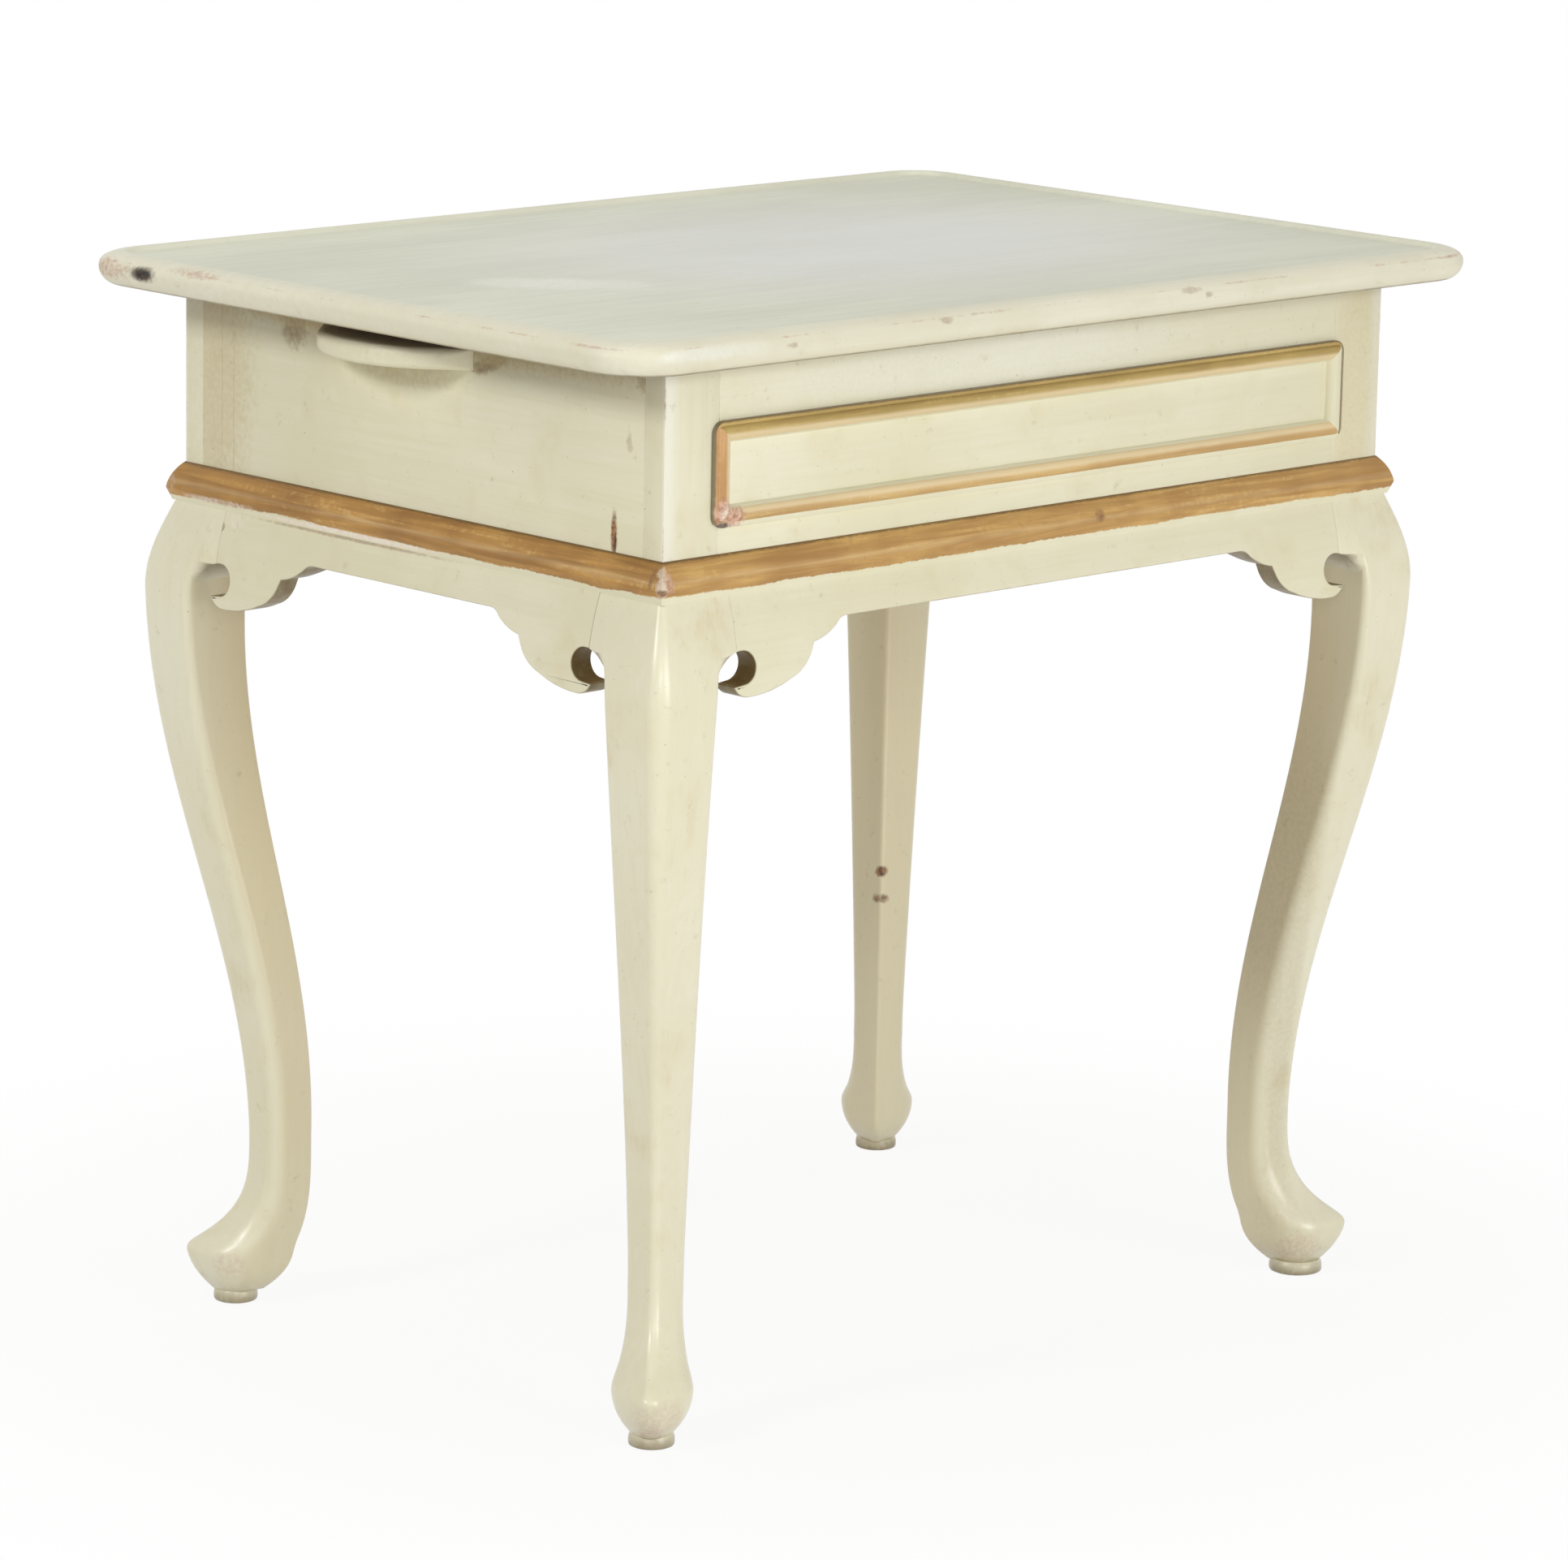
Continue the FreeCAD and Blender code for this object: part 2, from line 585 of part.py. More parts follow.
def waist_mouldings():
    """Make the four mouldings that hide the joint of case and stand."""
    profile = [
        ("moulding_reach - stand_step", "-moulding_drop"),
        ("moulding_reach - stand_step", "0"),
        ("moulding_reach", "0"),
        ("moulding_reach", "moulding_rise", "moulding_round"),
        ("0", "0"),
    ]
    long = "case_length + 2 * moulding_reach"
    short = "case_width + 2 * moulding_reach"
    far_x = f"{CASE_X} + moulding_reach"
    far_y = f"{CASE_Y} + moulding_reach"
    for side, length, x, y, angle in (
        ("front", long, "0", f"-({far_y})", 0),
        ("right", short, far_x, "0", 90),
        ("back", long, "0", far_y, 180),
        ("left", short, f"-({far_x})", "0", 270),
    ):
        body = strip(f"waist_moulding_{side}", profile, length, "moulding_reach")
        place(body, x, y, "stand_height", FreeCAD.Rotation(FreeCAD.Vector(0, 0, 1), angle))


def drawer_beads():
    """Make the four beads that frame the drawer front and lap over the opening."""
    profile = [
        ("0", "0"),
        ("bead_width", "0", "bead_round"),
        ("bead_fillet", "bead_edge"),
        ("0", "bead_edge"),
    ]
    long = "(opening_length + 2 * bead_lap)"
    short = "(opening_height + 2 * bead_lap)"
    middle = f"({OPEN_LOW} + {OPEN_HIGH}) / 2"
    upright = FreeCAD.Rotation(FreeCAD.Vector(1, 0, 0), 90)
    for side, length, x, z, angle in (
        ("bottom", long, "0", f"{middle} - {short} / 2", 0),
        ("right", short, f"{long} / 2", middle, 270),
        ("top", long, "0", f"{middle} + {short} / 2", 180),
        ("left", short, f"-{long} / 2", middle, 90),
    ):
        body = strip(f"drawer_bead_{side}", profile, length, "bead_width")
        place(body, x, DRAWER_FACE, z, FreeCAD.Rotation(FreeCAD.Vector(0, 1, 0), angle) * upright)


def drawer_side():
    """Make the right drawer side with its dovetails and the groove of the bottom."""
    body = doc.addObject("PartDesign::Body", "side")
    shoulder = f"({DRAWER_FACE} + front_thickness)"
    tip = f"({DRAWER_FACE} + front_lap)"
    pitch = f"(({DRAWER_HIGH} - {DRAWER_LOW}) / {TAILS})"
    corners = [
        (shoulder, DRAWER_LOW),
        (DRAWER_BACK, DRAWER_LOW),
        (DRAWER_BACK, DRAWER_HIGH),
        (shoulder, DRAWER_HIGH),
    ]
    for tail in range(TAILS - 1, -1, -1):
        middle = f"{DRAWER_LOW} + {pitch} * {tail + 0.5}"
        corners += [
            (shoulder, f"{middle} + {pitch} * tail_root / 2"),
            (tip, f"{middle} + {pitch} * tail_tip / 2"),
            (tip, f"{middle} - {pitch} * tail_tip / 2"),
            (shoulder, f"{middle} - {pitch} * tail_root / 2"),
        ]
    inside = f"({DRAWER_X} - side_thickness)"
    pad(body, draw(body, "YZ_Plane", corners, ("0", "0", inside)), "side_thickness")
    groove = box((inside, f"{inside} + groove_depth"),
                 (f"{shoulder} - groove_depth", f"{DRAWER_BACK} + {MARGIN}"),
                 (f"{DRAWER_LOW} + bottom_rise", f"{DRAWER_LOW} + bottom_rise + bottom_thickness"))
    return piece(cut(body, groove), "drawer_side_right")


def drawer():
    """Make the drawer box; the sockets of its front are cut by the tails themselves."""
    right = drawer_side()
    left = mirrored(right, "drawer_side_left", FreeCAD.Vector(1, 0, 0))
    inside = f"({DRAWER_X} - side_thickness)"
    floor_x = f"({inside} + groove_depth)"
    floor = (f"{DRAWER_LOW} + bottom_rise", f"{DRAWER_LOW} + bottom_rise + bottom_thickness")
    rear = f"({DRAWER_FACE} + front_thickness)"
    front = box((f"-{DRAWER_X}", DRAWER_X), (DRAWER_FACE, rear),
                (DRAWER_LOW, f"{OPEN_HIGH} - drawer_gap"))
    groove = box((f"-{floor_x}", floor_x), (f"{rear} - groove_depth", f"{rear} + {MARGIN}"), floor)
    piece(cut(cut(cut(front, groove), right), left), "drawer_front")
    board("drawer_bottom", (f"-{floor_x}", floor_x), (f"{rear} - groove_depth", DRAWER_BACK), floor)
    board("drawer_back", (f"-{inside}", inside), (f"{DRAWER_BACK} - back_thickness", DRAWER_BACK),
          (floor[1], f"{DRAWER_HIGH} - back_drop"))
    drawer_beads()


def slides():
    """Make the two candle slides and their stop pegs."""
    body = doc.addObject("PartDesign::Body", "slide")
    half = "slide_width / 2"
    start = "stop_width / 2 + running_gap"
    base = pad(body, draw(body, "XY_Plane", [
        (start, f"slide_setback - {half}"),
        (CASE_X, f"slide_setback - {half}", "(slide_width ^ 2 / 4 + lip_reach ^ 2) / (2 * lip_reach)"),
        (CASE_X, f"slide_setback + {half}"),
        (start, f"slide_setback + {half}"),
    ], ("0", "0", SLIDE_LOW)), "slide_thickness")
    face = value(CASE_X)
    bevel(body, base, "lip_bevel", lambda edge: edge.BoundBox.Center.x > face)
    peg = doc.addObject("Part::Cylinder", "peg")
    peg.setExpression("Radius", bind("peg_radius"))
    peg.setExpression("Height", bind("peg_length + peg_depth"))
    peg.setExpression("Placement.Base.x", bind(f"{INNER_X} - slide_travel - peg_radius"))
    peg.setExpression("Placement.Base.y", bind("slide_setback"))
    peg.setExpression("Placement.Base.z", bind(f"{SLIDE_LOW} - peg_length"))
    right = piece(cut(body, peg), "slide_right")
    mirrored(right, "slide_left", FreeCAD.Vector(1, 0, 0))
    mirrored(piece(peg, "slide_peg_right"), "slide_peg_left", FreeCAD.Vector(1, 0, 0))


def case_frame():
    """Make the front frame, the ends and the back of the case."""
    full = ("stand_height", TOP_LOW)
    front = (f"-{CASE_Y}", f"-{INNER_Y}")
    reach = f"({OPEN_X} + frame_tenon)"
    cheeks = (f"-{CASE_Y} + frame_cheek", f"-{INNER_Y} - frame_cheek")
    low_tenon = ("stand_height + frame_cheek", f"{OPEN_LOW} - frame_cheek")
    high_tenon = (f"{OPEN_HIGH} + frame_cheek", f"{TOP_LOW} - frame_cheek")
    rail = (f"-{OPEN_X}", OPEN_X)
    across = (f"-{reach}", reach)
    board("bottom_rail", rail, front, ("stand_height", OPEN_LOW), [(across, cheeks, low_tenon)])
    board("top_rail", rail, front, (OPEN_HIGH, TOP_LOW), [(across, cheeks, high_tenon)])
    tongue_x = (f"{INNER_X} + (wall - tongue) / 2", f"{INNER_X} + (wall + tongue) / 2")
    tongue_y = (f"-{INNER_Y} - tongue_depth", f"{INNER_Y} + tongue_depth")
    stile = board("front_stile_right", (OPEN_X, CASE_X), front, full, housings=[
        ((OPEN_X, reach), cheeks, low_tenon),
        ((OPEN_X, reach), cheeks, high_tenon),
        (tongue_x, tongue_y, full),
    ])
    mirrored(stile, "front_stile_left", FreeCAD.Vector(1, 0, 0))
    slot = "(slide_width / 2 + slot_gap)"
    end = board("case_end_right", (INNER_X, CASE_X), (f"-{INNER_Y}", INNER_Y), full,
                tenons=[(tongue_x, tongue_y, full)],
                housings=[((INNER_X, CASE_X), (f"slide_setback - {slot}", f"slide_setback + {slot}"),
                           (f"{SLIDE_LOW} - running_gap", TOP_LOW))])
    mirrored(end, "case_end_left", FreeCAD.Vector(1, 0, 0))
    grooves = [(tongue_x, tongue_y, full), ((f"-({tongue_x[1]})", f"-({tongue_x[0]})"), tongue_y, full)]
    board("case_back", (f"-{CASE_X}", CASE_X), (INNER_Y, CASE_Y), full, housings=grooves)


def case_fittings():
    """Make what carries and guides the drawer and the slides."""
    along = (f"-{INNER_Y}", INNER_Y)
    beside = (f"{INNER_X} - runner_width", INNER_X)
    seat = f"({DRAWER_LOW} - running_gap)"
    runner = board("drawer_runner_right", beside, along, ("stand_height", seat))
    guide = board("drawer_guide_right", (f"{DRAWER_X} + guide_gap", INNER_X), along,
                  (seat, f"{seat} + guide_height"))
    kicker = board("drawer_kicker_right", beside, along, (f"{DRAWER_HIGH} + kicker_gap", BATTEN_LOW))
    for fitting in (runner, guide, kicker):
        mirrored(fitting, fitting.Label.replace("right", "left"), FreeCAD.Vector(1, 0, 0))
    inside = "(slide_width / 2 - batten_groove)"
    between_ends = (f"-{INNER_X}", INNER_X)
    for name, way in (("slide_guide_front", -1), ("slide_guide_back", 1)):
        near, far, deep = (f"slide_setback + {way} * ({reach})" for reach in (
            inside, f"{inside} + batten_width", "slide_width / 2 + slot_gap"))
        board(name, between_ends, (near, far)[::way], (BATTEN_LOW, TOP_LOW), housings=[
            (between_ends, (near, deep)[::way], (f"{SLIDE_LOW} - running_gap", f"{SLIDE_HIGH} + running_gap"))])
    board("slide_centre_stop", ("-stop_width / 2", "stop_width / 2"),
          (f"slide_setback - {inside}", f"slide_setback + {inside}"), (BATTEN_LOW, TOP_LOW))


def glue_blocks():
    """Make the blocks that hold the case to the stand and the top to the case."""
    batten_edge = "slide_width / 2 - batten_groove + batten_width"

    def about(middle):
        return f"({middle}) - block_length / 2", f"({middle}) + block_length / 2"

    def against(face):
        return [(f"-{face}", f"-{face} + block_side"), (f"{face} - block_side", face)]

    low = ("stand_height - block_side", "stand_height + block_side")
    under_runner = ("stand_height - block_side", "stand_height")
    high = (f"{TOP_LOW} - block_side", TOP_LOW)
    centred = ("-block_length / 2", "block_length / 2")
    quarters = [about(f"{side} * {INNER_X} / 2") for side in (-1, 1)]
    beside_battens = [about(f"({side} * ({INNER_Y} + {batten_edge}) + slide_setback) / 2") for side in (-1, 1)]
    long_sides = [(span, deep) for span in quarters for deep in against(INNER_Y)]
    ends = [(deep, span) for deep in against(INNER_X) for span in beside_battens]
    group("stand_glue_blocks", [(*place_on, low) for place_on in long_sides]
          + [(deep, centred, under_runner) for deep in against(INNER_X)])
    group("top_glue_blocks", [(*place_on, high) for place_on in long_sides + ends])


def stand():
    """Make the legs and the aprons."""
    right = leg()
    left = mirrored(right, "leg_back_left", FreeCAD.Vector(1, 0, 0))
    mirrored(right, "leg_front_right", FreeCAD.Vector(0, 1, 0))
    mirrored(left, "leg_front_left", FreeCAD.Vector(0, 1, 0))
    back = apron("apron_back", POST_X, INNER_Y)
    mirrored(back, "apron_front", FreeCAD.Vector(0, 1, 0))
    side = apron("apron_right", POST_Y, INNER_X)
    place(side, turn=FreeCAD.Rotation(FreeCAD.Vector(0, 0, 1), -90))
    mirrored(side, "apron_left", FreeCAD.Vector(1, 0, 0))


stand()
waist_mouldings()
case_frame()
case_fittings()
drawer()
slides()
top_board()
glue_blocks()
doc.recompute()

for item in doc.Objects:
    if "Invalid" in item.State or "Error" in item.State:
        raise RuntimeError(f"{item.Label} failed: {item.State}")
for item in pieces:
    if item.Shape.isNull() or not item.Shape.isValid() or not item.Shape.Solids:
        raise RuntimeError(f"{item.Label} has no valid solid")

os.makedirs("parts", exist_ok=True)
for item in pieces:
    item.Shape.exportStep(f"parts/{item.Label}.step")
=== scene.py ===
"""Looks of a cream painted tray top tea table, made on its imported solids.

The origin is on the floor under the middle of the top, +X along the table, -Y towards the drawer front
and +Z up. Pieces are worked out in millimetres and put into their meshes in metres.
"""

import logging
import math
from dataclasses import dataclass
from enum import Enum
from typing import Any, ClassVar, Mapping, Optional, Sequence, Union

import bmesh
import bpy
import numpy as np
from mathutils import Matrix


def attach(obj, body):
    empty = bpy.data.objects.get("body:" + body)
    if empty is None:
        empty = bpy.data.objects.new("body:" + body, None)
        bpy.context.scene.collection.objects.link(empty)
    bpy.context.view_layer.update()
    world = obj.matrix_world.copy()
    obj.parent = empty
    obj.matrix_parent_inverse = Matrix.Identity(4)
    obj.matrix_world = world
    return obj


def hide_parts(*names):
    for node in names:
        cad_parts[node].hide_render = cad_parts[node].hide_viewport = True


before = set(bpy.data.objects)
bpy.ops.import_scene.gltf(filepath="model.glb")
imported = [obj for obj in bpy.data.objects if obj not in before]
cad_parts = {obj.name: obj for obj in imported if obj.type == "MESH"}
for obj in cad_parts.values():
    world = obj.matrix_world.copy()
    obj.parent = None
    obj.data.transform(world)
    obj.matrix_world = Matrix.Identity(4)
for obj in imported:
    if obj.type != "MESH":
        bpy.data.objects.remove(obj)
LOG = logging.getLogger("tea_table")
MM = 0.001
Colour = tuple[float, float, float]
Point = tuple[float, float, float]
Flat = tuple[float, float]
MERGING = 1e-6
FLAT_DEGREES = 0.4
SHARP_DEGREES = 40


# ---------------------------------------------------------------- shader maths

class Sock:
    """One output of a node; arithmetic on it adds Math nodes."""

    def __init__(self, graph: "Graph", socket: bpy.types.NodeSocket) -> None:
        """Keep the socket and the graph that it belongs to."""
        self.graph = graph
        self.socket = socket

    def _math(self, operation: str, *terms: "Value") -> "Sock":
        """Add a Math node of one operation on the terms."""
        return self.graph.node("ShaderNodeMath", {"operation": operation}, dict(enumerate(terms)))

    def __add__(self, other: "Value") -> "Sock":
        """Sum."""
        return self._math("ADD", self, other)

    __radd__ = __add__

    def __sub__(self, other: "Value") -> "Sock":
        """Difference."""
        return self._math("SUBTRACT", self, other)

    def __rsub__(self, other: "Value") -> "Sock":
        """Difference, the other way round."""
        return self._math("SUBTRACT", other, self)

    def __mul__(self, other: "Value") -> "Sock":
        """Product."""
        return self._math("MULTIPLY", self, other)

    __rmul__ = __mul__

    def __abs__(self) -> "Sock":
        """Size without sign."""
        return self._math("ABSOLUTE", self)

    def most(self, other: "Value") -> "Sock":
        """The larger of the two."""
        return self._math("MAXIMUM", self, other)

    def ramp(self, start: float, end: float) -> "Sock":
        """Go smoothly from 0 at start to 1 at end; with start above end it falls instead.

        Args:
            start: value at which the result is 0.
            end: value at which the result is 1.
        Returns:
            The eased share between the two.
        """
        return self.graph.node(
            "ShaderNodeMapRange", {"interpolation_type": "SMOOTHSTEP"},
            {"Value": self, "From Min": start, "From Max": end},
        )


Value = Union[Sock, float]
Tint = Union[Sock, Colour]


def linear(colour: Colour) -> tuple[float, float, float, float]:
    """Turn a colour as a screen shows it (0 to 255) into the light values that shaders take.

    Args:
        colour: red, green and blue from 0 to 255.
    Returns:
        Linear red, green, blue and a full alpha.
    """
    share = np.array(colour, float) / 255
    light = np.where(share <= 0.04045, share / 12.92, ((share + 0.055) / 1.055) ** 2.4)
    return (*light.tolist(), 1.0)


class Graph:
    """The nodes of one material or world.

    FIRST, SECOND and MIXED number a Mix node's two colour inputs and its colour output.
    """

    FIRST, SECOND, MIXED = 6, 7, 2
    VARNISH_ROUGHNESS = 0.3
    PAINT_INDEX = 1.46

    def __init__(self, tree: bpy.types.NodeTree) -> None:
        """Empty the tree and keep it."""
        self.tree = tree
        tree.nodes.clear()

    def node(self, kind: str, settings: Optional[Mapping[str, Any]] = None,
             sockets: Optional[Mapping[Any, Any]] = None, out: Union[int, str] = 0) -> Sock:
        """Add any node.

        Args:
            kind: the node's type.
            settings: its properties, set first.
            sockets: values or links by socket name or number.
            out: which output is handed back.
        Returns:
            That output.
        """
        made = self.tree.nodes.new(kind)
        for name, setting in (settings or {}).items():
            setattr(made, name, setting)
        for name, value in (sockets or {}).items():
            if isinstance(value, Sock):
                self.tree.links.new(value.socket, made.inputs[name])
            else:
                made.inputs[name].default_value = value
        return Sock(self, made.outputs[out] if made.outputs else None)

    def place(self) -> Sock:
        """Where a point is in the table's own frame, in metres."""
        return self.node("ShaderNodeTexCoord", out="Object")

    def trait(self, name: str) -> Sock:
        """A number that the mesh carries at its points or faces; 0 where it carries none."""
        return self.node("ShaderNodeAttribute", {"attribute_name": name}, out="Fac")

    def axes(self, vector: Sock) -> tuple[Sock, Sock, Sock]:
        """The X, Y and Z of a vector."""
        split = self.node("ShaderNodeSeparateXYZ", sockets={0: vector})
        return tuple(Sock(self, output) for output in split.socket.node.outputs)

    def times(self, vector: Sock, by: Point) -> Sock:
        """A vector multiplied axis by axis."""
        return self.node("ShaderNodeVectorMath", {"operation": "MULTIPLY"}, {0: vector, 1: by})

    def length(self, vector: Sock) -> Sock:
        """How long a vector is."""
        return self.node("ShaderNodeVectorMath", {"operation": "LENGTH"}, {0: vector}, out="Value")

    def noise(self, vector: Sock, scale: float, detail: float = 2.0, rough: float = 0.5,
              twist: float = 0.0) -> Sock:
        """Soft random patches from 0 to 1, most of them near 0.5.

        Args:
            vector: where the pattern is read.
            scale: patches to the metre.
            detail: how many finer layers are added.
            rough: how strong the finer layers are.
            twist: how far the pattern is warped.
        Returns:
            The patches' value.
        """
        return self.node("ShaderNodeTexNoise", sockets={
            "Vector": vector, "Scale": scale, "Detail": detail, "Roughness": rough, "Distortion": twist})

    def mix(self, share: Value, first: Tint, second: Tint) -> Sock:
        """A colour that goes from the first to the second as the share goes from 0 to 1.

        Args:
            share: a number or a varying value.
            first: colour at 0.
            second: colour at 1.
        Returns:
            The mixed colour.
        """
        pair = {number: linear(colour) if isinstance(colour, tuple) else colour
                for number, colour in ((self.FIRST, first), (self.SECOND, second))}
        return self.node("ShaderNodeMix", {"data_type": "RGBA"}, {0: share, **pair}, out=self.MIXED)

    def shaded(self, share: Value, colour: Sock, by: Colour) -> Sock:
        """A colour multiplied by another, as far as the share says."""
        return self.node("ShaderNodeMix", {"data_type": "RGBA", "blend_type": "MULTIPLY"},
                         {0: share, self.FIRST: colour, self.SECOND: linear(by)}, out=self.MIXED)

    def away(self, vector: Sock, middle: Point, reach: Point) -> Sock:
        """How far a point is from a middle, counted in reaches along each axis.

        Args:
            vector: the point, in metres.
            middle: the middle, in millimetres.
            reach: half the size of the mark along each axis, in millimetres.
        Returns:
            0 at the middle and 1 at the mark's edge.
        """
        moved = self.node("ShaderNodeVectorMath", {"operation": "SUBTRACT"},
                          {0: vector, 1: tuple(MM * m for m in middle)})
        return self.length(self.times(moved, tuple(1 / (MM * r) for r in reach)))

    def surface(self, colour: Sock, roughness: Value, height: Value, depth: float,
                metallic: Value = 0.0, coat: float = 0.0) -> None:
        """End the graph in one shader.

        Args:
            colour: base colour.
            roughness: roughness, a number or a varying value.
            height: relief from 0 to 1.
            depth: what a relief of 1 measures, in millimetres.
            metallic: share of metal.
            coat: strength of a thin varnish.
        """
        bump = self.node("ShaderNodeBump", sockets={
            "Strength": 1.0, "Distance": depth * MM, "Height": height})
        shader = self.node("ShaderNodeBsdfPrincipled", sockets={
            "Base Color": colour, "Roughness": roughness, "Metallic": metallic, "Normal": bump,
            "Coat Weight": coat, "Coat Roughness": self.VARNISH_ROUGHNESS, "IOR": self.PAINT_INDEX})
        self.node("ShaderNodeOutputMaterial", sockets={"Surface": shader})


def blank(name: str) -> tuple[bpy.types.Material, Graph]:
    """A new material and its empty graph.

    Args:
        name: the material's name.
    Returns:
        The material and its graph.
    """
    made = bpy.data.materials.new(name)
    made.use_nodes = True
    return made, Graph(made.node_tree)


# ---------------------------------------------------------------- finishes

class Lay(Enum):
    """The way in which a brush or the grain runs: waves to the metre along X, Y and Z."""

    LONG = (5.0, 150.0, 150.0)
    DEEP = (150.0, 5.0, 150.0)
    TALL = (150.0, 150.0, 5.0)

    def times(self, by: float, more: float = 0.0) -> Point:
        """The waves multiplied by one number and raised by another."""
        return tuple(by * wave + more for wave in self.value)


class Layer(Enum):
    """What shows at a worn or soiled place, or at a place of painted shade or painted highlight: its two
    colours, mixed in crumbs.
    """

    PRIMER = ((226, 211, 194), (200, 174, 152))
    WOOD = ((168, 124, 84), (104, 68, 44))
    HOLE = ((80, 62, 47), (22, 18, 15))
    CHALK = ((248, 242, 231), (243, 231, 216))
    BOLE = ((226, 190, 172), (170, 116, 98))
    # Yellowed paint; also painted shade under the top's overhang and on the right front stile
    YELLOWED_AND_SHADE = ((216, 203, 160), (206, 190, 146))
    # A stain; also painted shade under the slide's lip, at its right end and on a leg's inner flank
    GRIME_AND_SHADE = ((176, 158, 114), (136, 116, 78))
    # Worn paint; also painted highlights on the field and painted light on the top rail and the case's
    # corners
    RUBBED_AND_HIGHLIGHT = ((246, 248, 240), (240, 244, 236))


@dataclass(frozen=True)
class Mark:
    """One worn or soiled place: where, how large (millimetres), what shows, how ragged and how strong.

    It fades in from OUTER to INNER reaches away from its middle.
    """

    middle: Point
    reach: Point
    layer: Layer
    ragged: float = 0.55
    depth: float = 1.0
    OUTER: ClassVar[float] = 1.15
    INNER: ClassVar[float] = 0.45

    def near(self, graph: Graph, place: Sock, rag: Sock) -> Sock:
        """1 inside the mark and 0 outside, with an edge that the noise makes ragged."""
        away = graph.away(place, self.middle, self.reach) + rag * (2 * self.ragged)
        return away.ramp(self.OUTER, self.INNER)


@dataclass(frozen=True)
class CreamPaint:
    """Old cream oil paint: brush strokes, yellowed patches, worn edges and single marks, with painted shade
    and painted highlights among them.

    field_tone is the tone where the mesh carries "field", under a painted reflection round its middle. inside
    gives half sizes within which faces are bare wood, and corners the half sizes at whose standing corners
    the paint is worn by rubbing and lightened by a painted highlight.
    """

    name: str
    tone: Colour = (231, 228, 200)
    pale: Colour = (238, 236, 214)
    # aged: yellowed patches, and the painted shade of faces that look inwards
    aged: Colour = (219, 210, 168)
    lay: Lay = Lay.LONG
    wear: float = 1.0
    roughness: float = 0.40
    coat: float = 0.12
    grime: float = 0.35
    inside: Optional[Flat] = None
    corners: Optional[Flat] = None
    field_tone: Optional[Colour] = None
    marks: tuple[Mark, ...] = ()
    DIRT: ClassVar[Colour] = (176, 160, 124)
    SPECK: ClassVar[Colour] = (150, 124, 92)
    # Colour that darkens dirty places and, as painted shade, hollows and cut edges
    SOIL_AND_SHADE: ClassVar[Colour] = (128, 108, 76)
    # Painted reflection on the tray's field: its bluish colour, its middle and its reach
    PAINTED_SHEEN: ClassVar[Colour] = (234, 239, 243)
    PAINTED_SHEEN_MIDDLE: ClassVar[Point] = (60, 0, 717)
    PAINTED_SHEEN_REACH: ClassVar[Point] = (390, 280, 100)
    DARKER: ClassVar[float] = 0.955
    BRIGHTER: ClassVar[float] = 1.028
    BRIGHTEST: ClassVar[float] = 250
    RELIEF: ClassVar[float] = 0.32

    def strokes(self, graph: Graph, place: Sock) -> Sock:
        """Brush strokes: noise drawn out along the lay, a coarse layer under a fine one.

        Args:
            graph: the graph that is added to.
            place: Object coordinates.
        Returns:
            The strokes from 0 to 1.
        """
        coarse = graph.noise(graph.times(place, self.lay.value), 1.0, detail=3.0, rough=0.6, twist=0.3)
        fine = graph.noise(graph.times(place, self.lay.times(3.1)), 1.0)
        return coarse * 0.65 + fine * 0.35

    def field_colour(self, graph: Graph, place: Sock, strokes: Sock) -> Sock:
        """The tray's field: darker and brighter clouds, and a bluish painted reflection round the middle.

        Args:
            graph: the graph that is added to.
            place: Object coordinates.
            strokes: the brush strokes.
        Returns:
            The colour before wear.
        """
        haze = graph.noise(graph.times(place, (1.0, 2.0, 1.0)), 3.6, detail=4.0, rough=0.55)
        deep = tuple(self.DARKER * part for part in self.field_tone)
        bright = tuple(min(self.BRIGHTER * part, self.BRIGHTEST) for part in self.field_tone)
        flat = graph.mix((haze * 0.6 + strokes * 0.4).ramp(0.36, 0.64), deep, bright)
        # Painted reflection: the field turns bluish round its middle
        painted_sheen_share = graph.away(place, self.PAINTED_SHEEN_MIDDLE, self.PAINTED_SHEEN_REACH).ramp(1.0, 0.2)
        return graph.mix(painted_sheen_share * (0.35 + haze * 0.6), flat, self.PAINTED_SHEEN)

    def colour(self, graph: Graph, place: Sock, strokes: Sock) -> Sock:
        """The paint's colour: pale and yellowed patches over the tone, drawn out by the brush, painted shade
        on faces that look inwards, and painted light on the tray's field and at the case's corners.

        Args:
            graph: the graph that is added to.
            place: Object coordinates.
            strokes: the brush strokes.
        Returns:
            The colour before wear.
        """
        cloud = graph.noise(place, 6.0, detail=3.0, rough=0.55)
        patch = graph.noise(place, 21.0, detail=3.0, rough=0.6)
        tone = graph.mix((cloud * 0.5 + strokes * 0.5).ramp(0.38, 0.66), self.tone, self.pale)
        # Yellowed patches, and painted shade on faces that look inwards
        yellowing_and_shade = (patch * 0.6 + strokes * 0.4).ramp(0.5, 0.74).most(graph.trait("inner"))
        tone = graph.mix(yellowing_and_shade * 0.6, tone, self.aged)
        if self.field_tone is not None:
            tone = graph.mix(graph.trait("field"), tone, self.field_colour(graph, place, strokes))
        # Standing corners of the case: worn paint, lightened further as a painted highlight along the arris
        if self.corners is not None:
            out_x, out_y = self.from_corner(graph, place)
            rubbed = (out_x + out_y * 5.0).ramp(15 * MM, 2 * MM) * (0.3 + strokes * 0.6)
            tone = graph.mix(rubbed, tone, Layer.RUBBED_AND_HIGHLIGHT.value[0])
        return tone

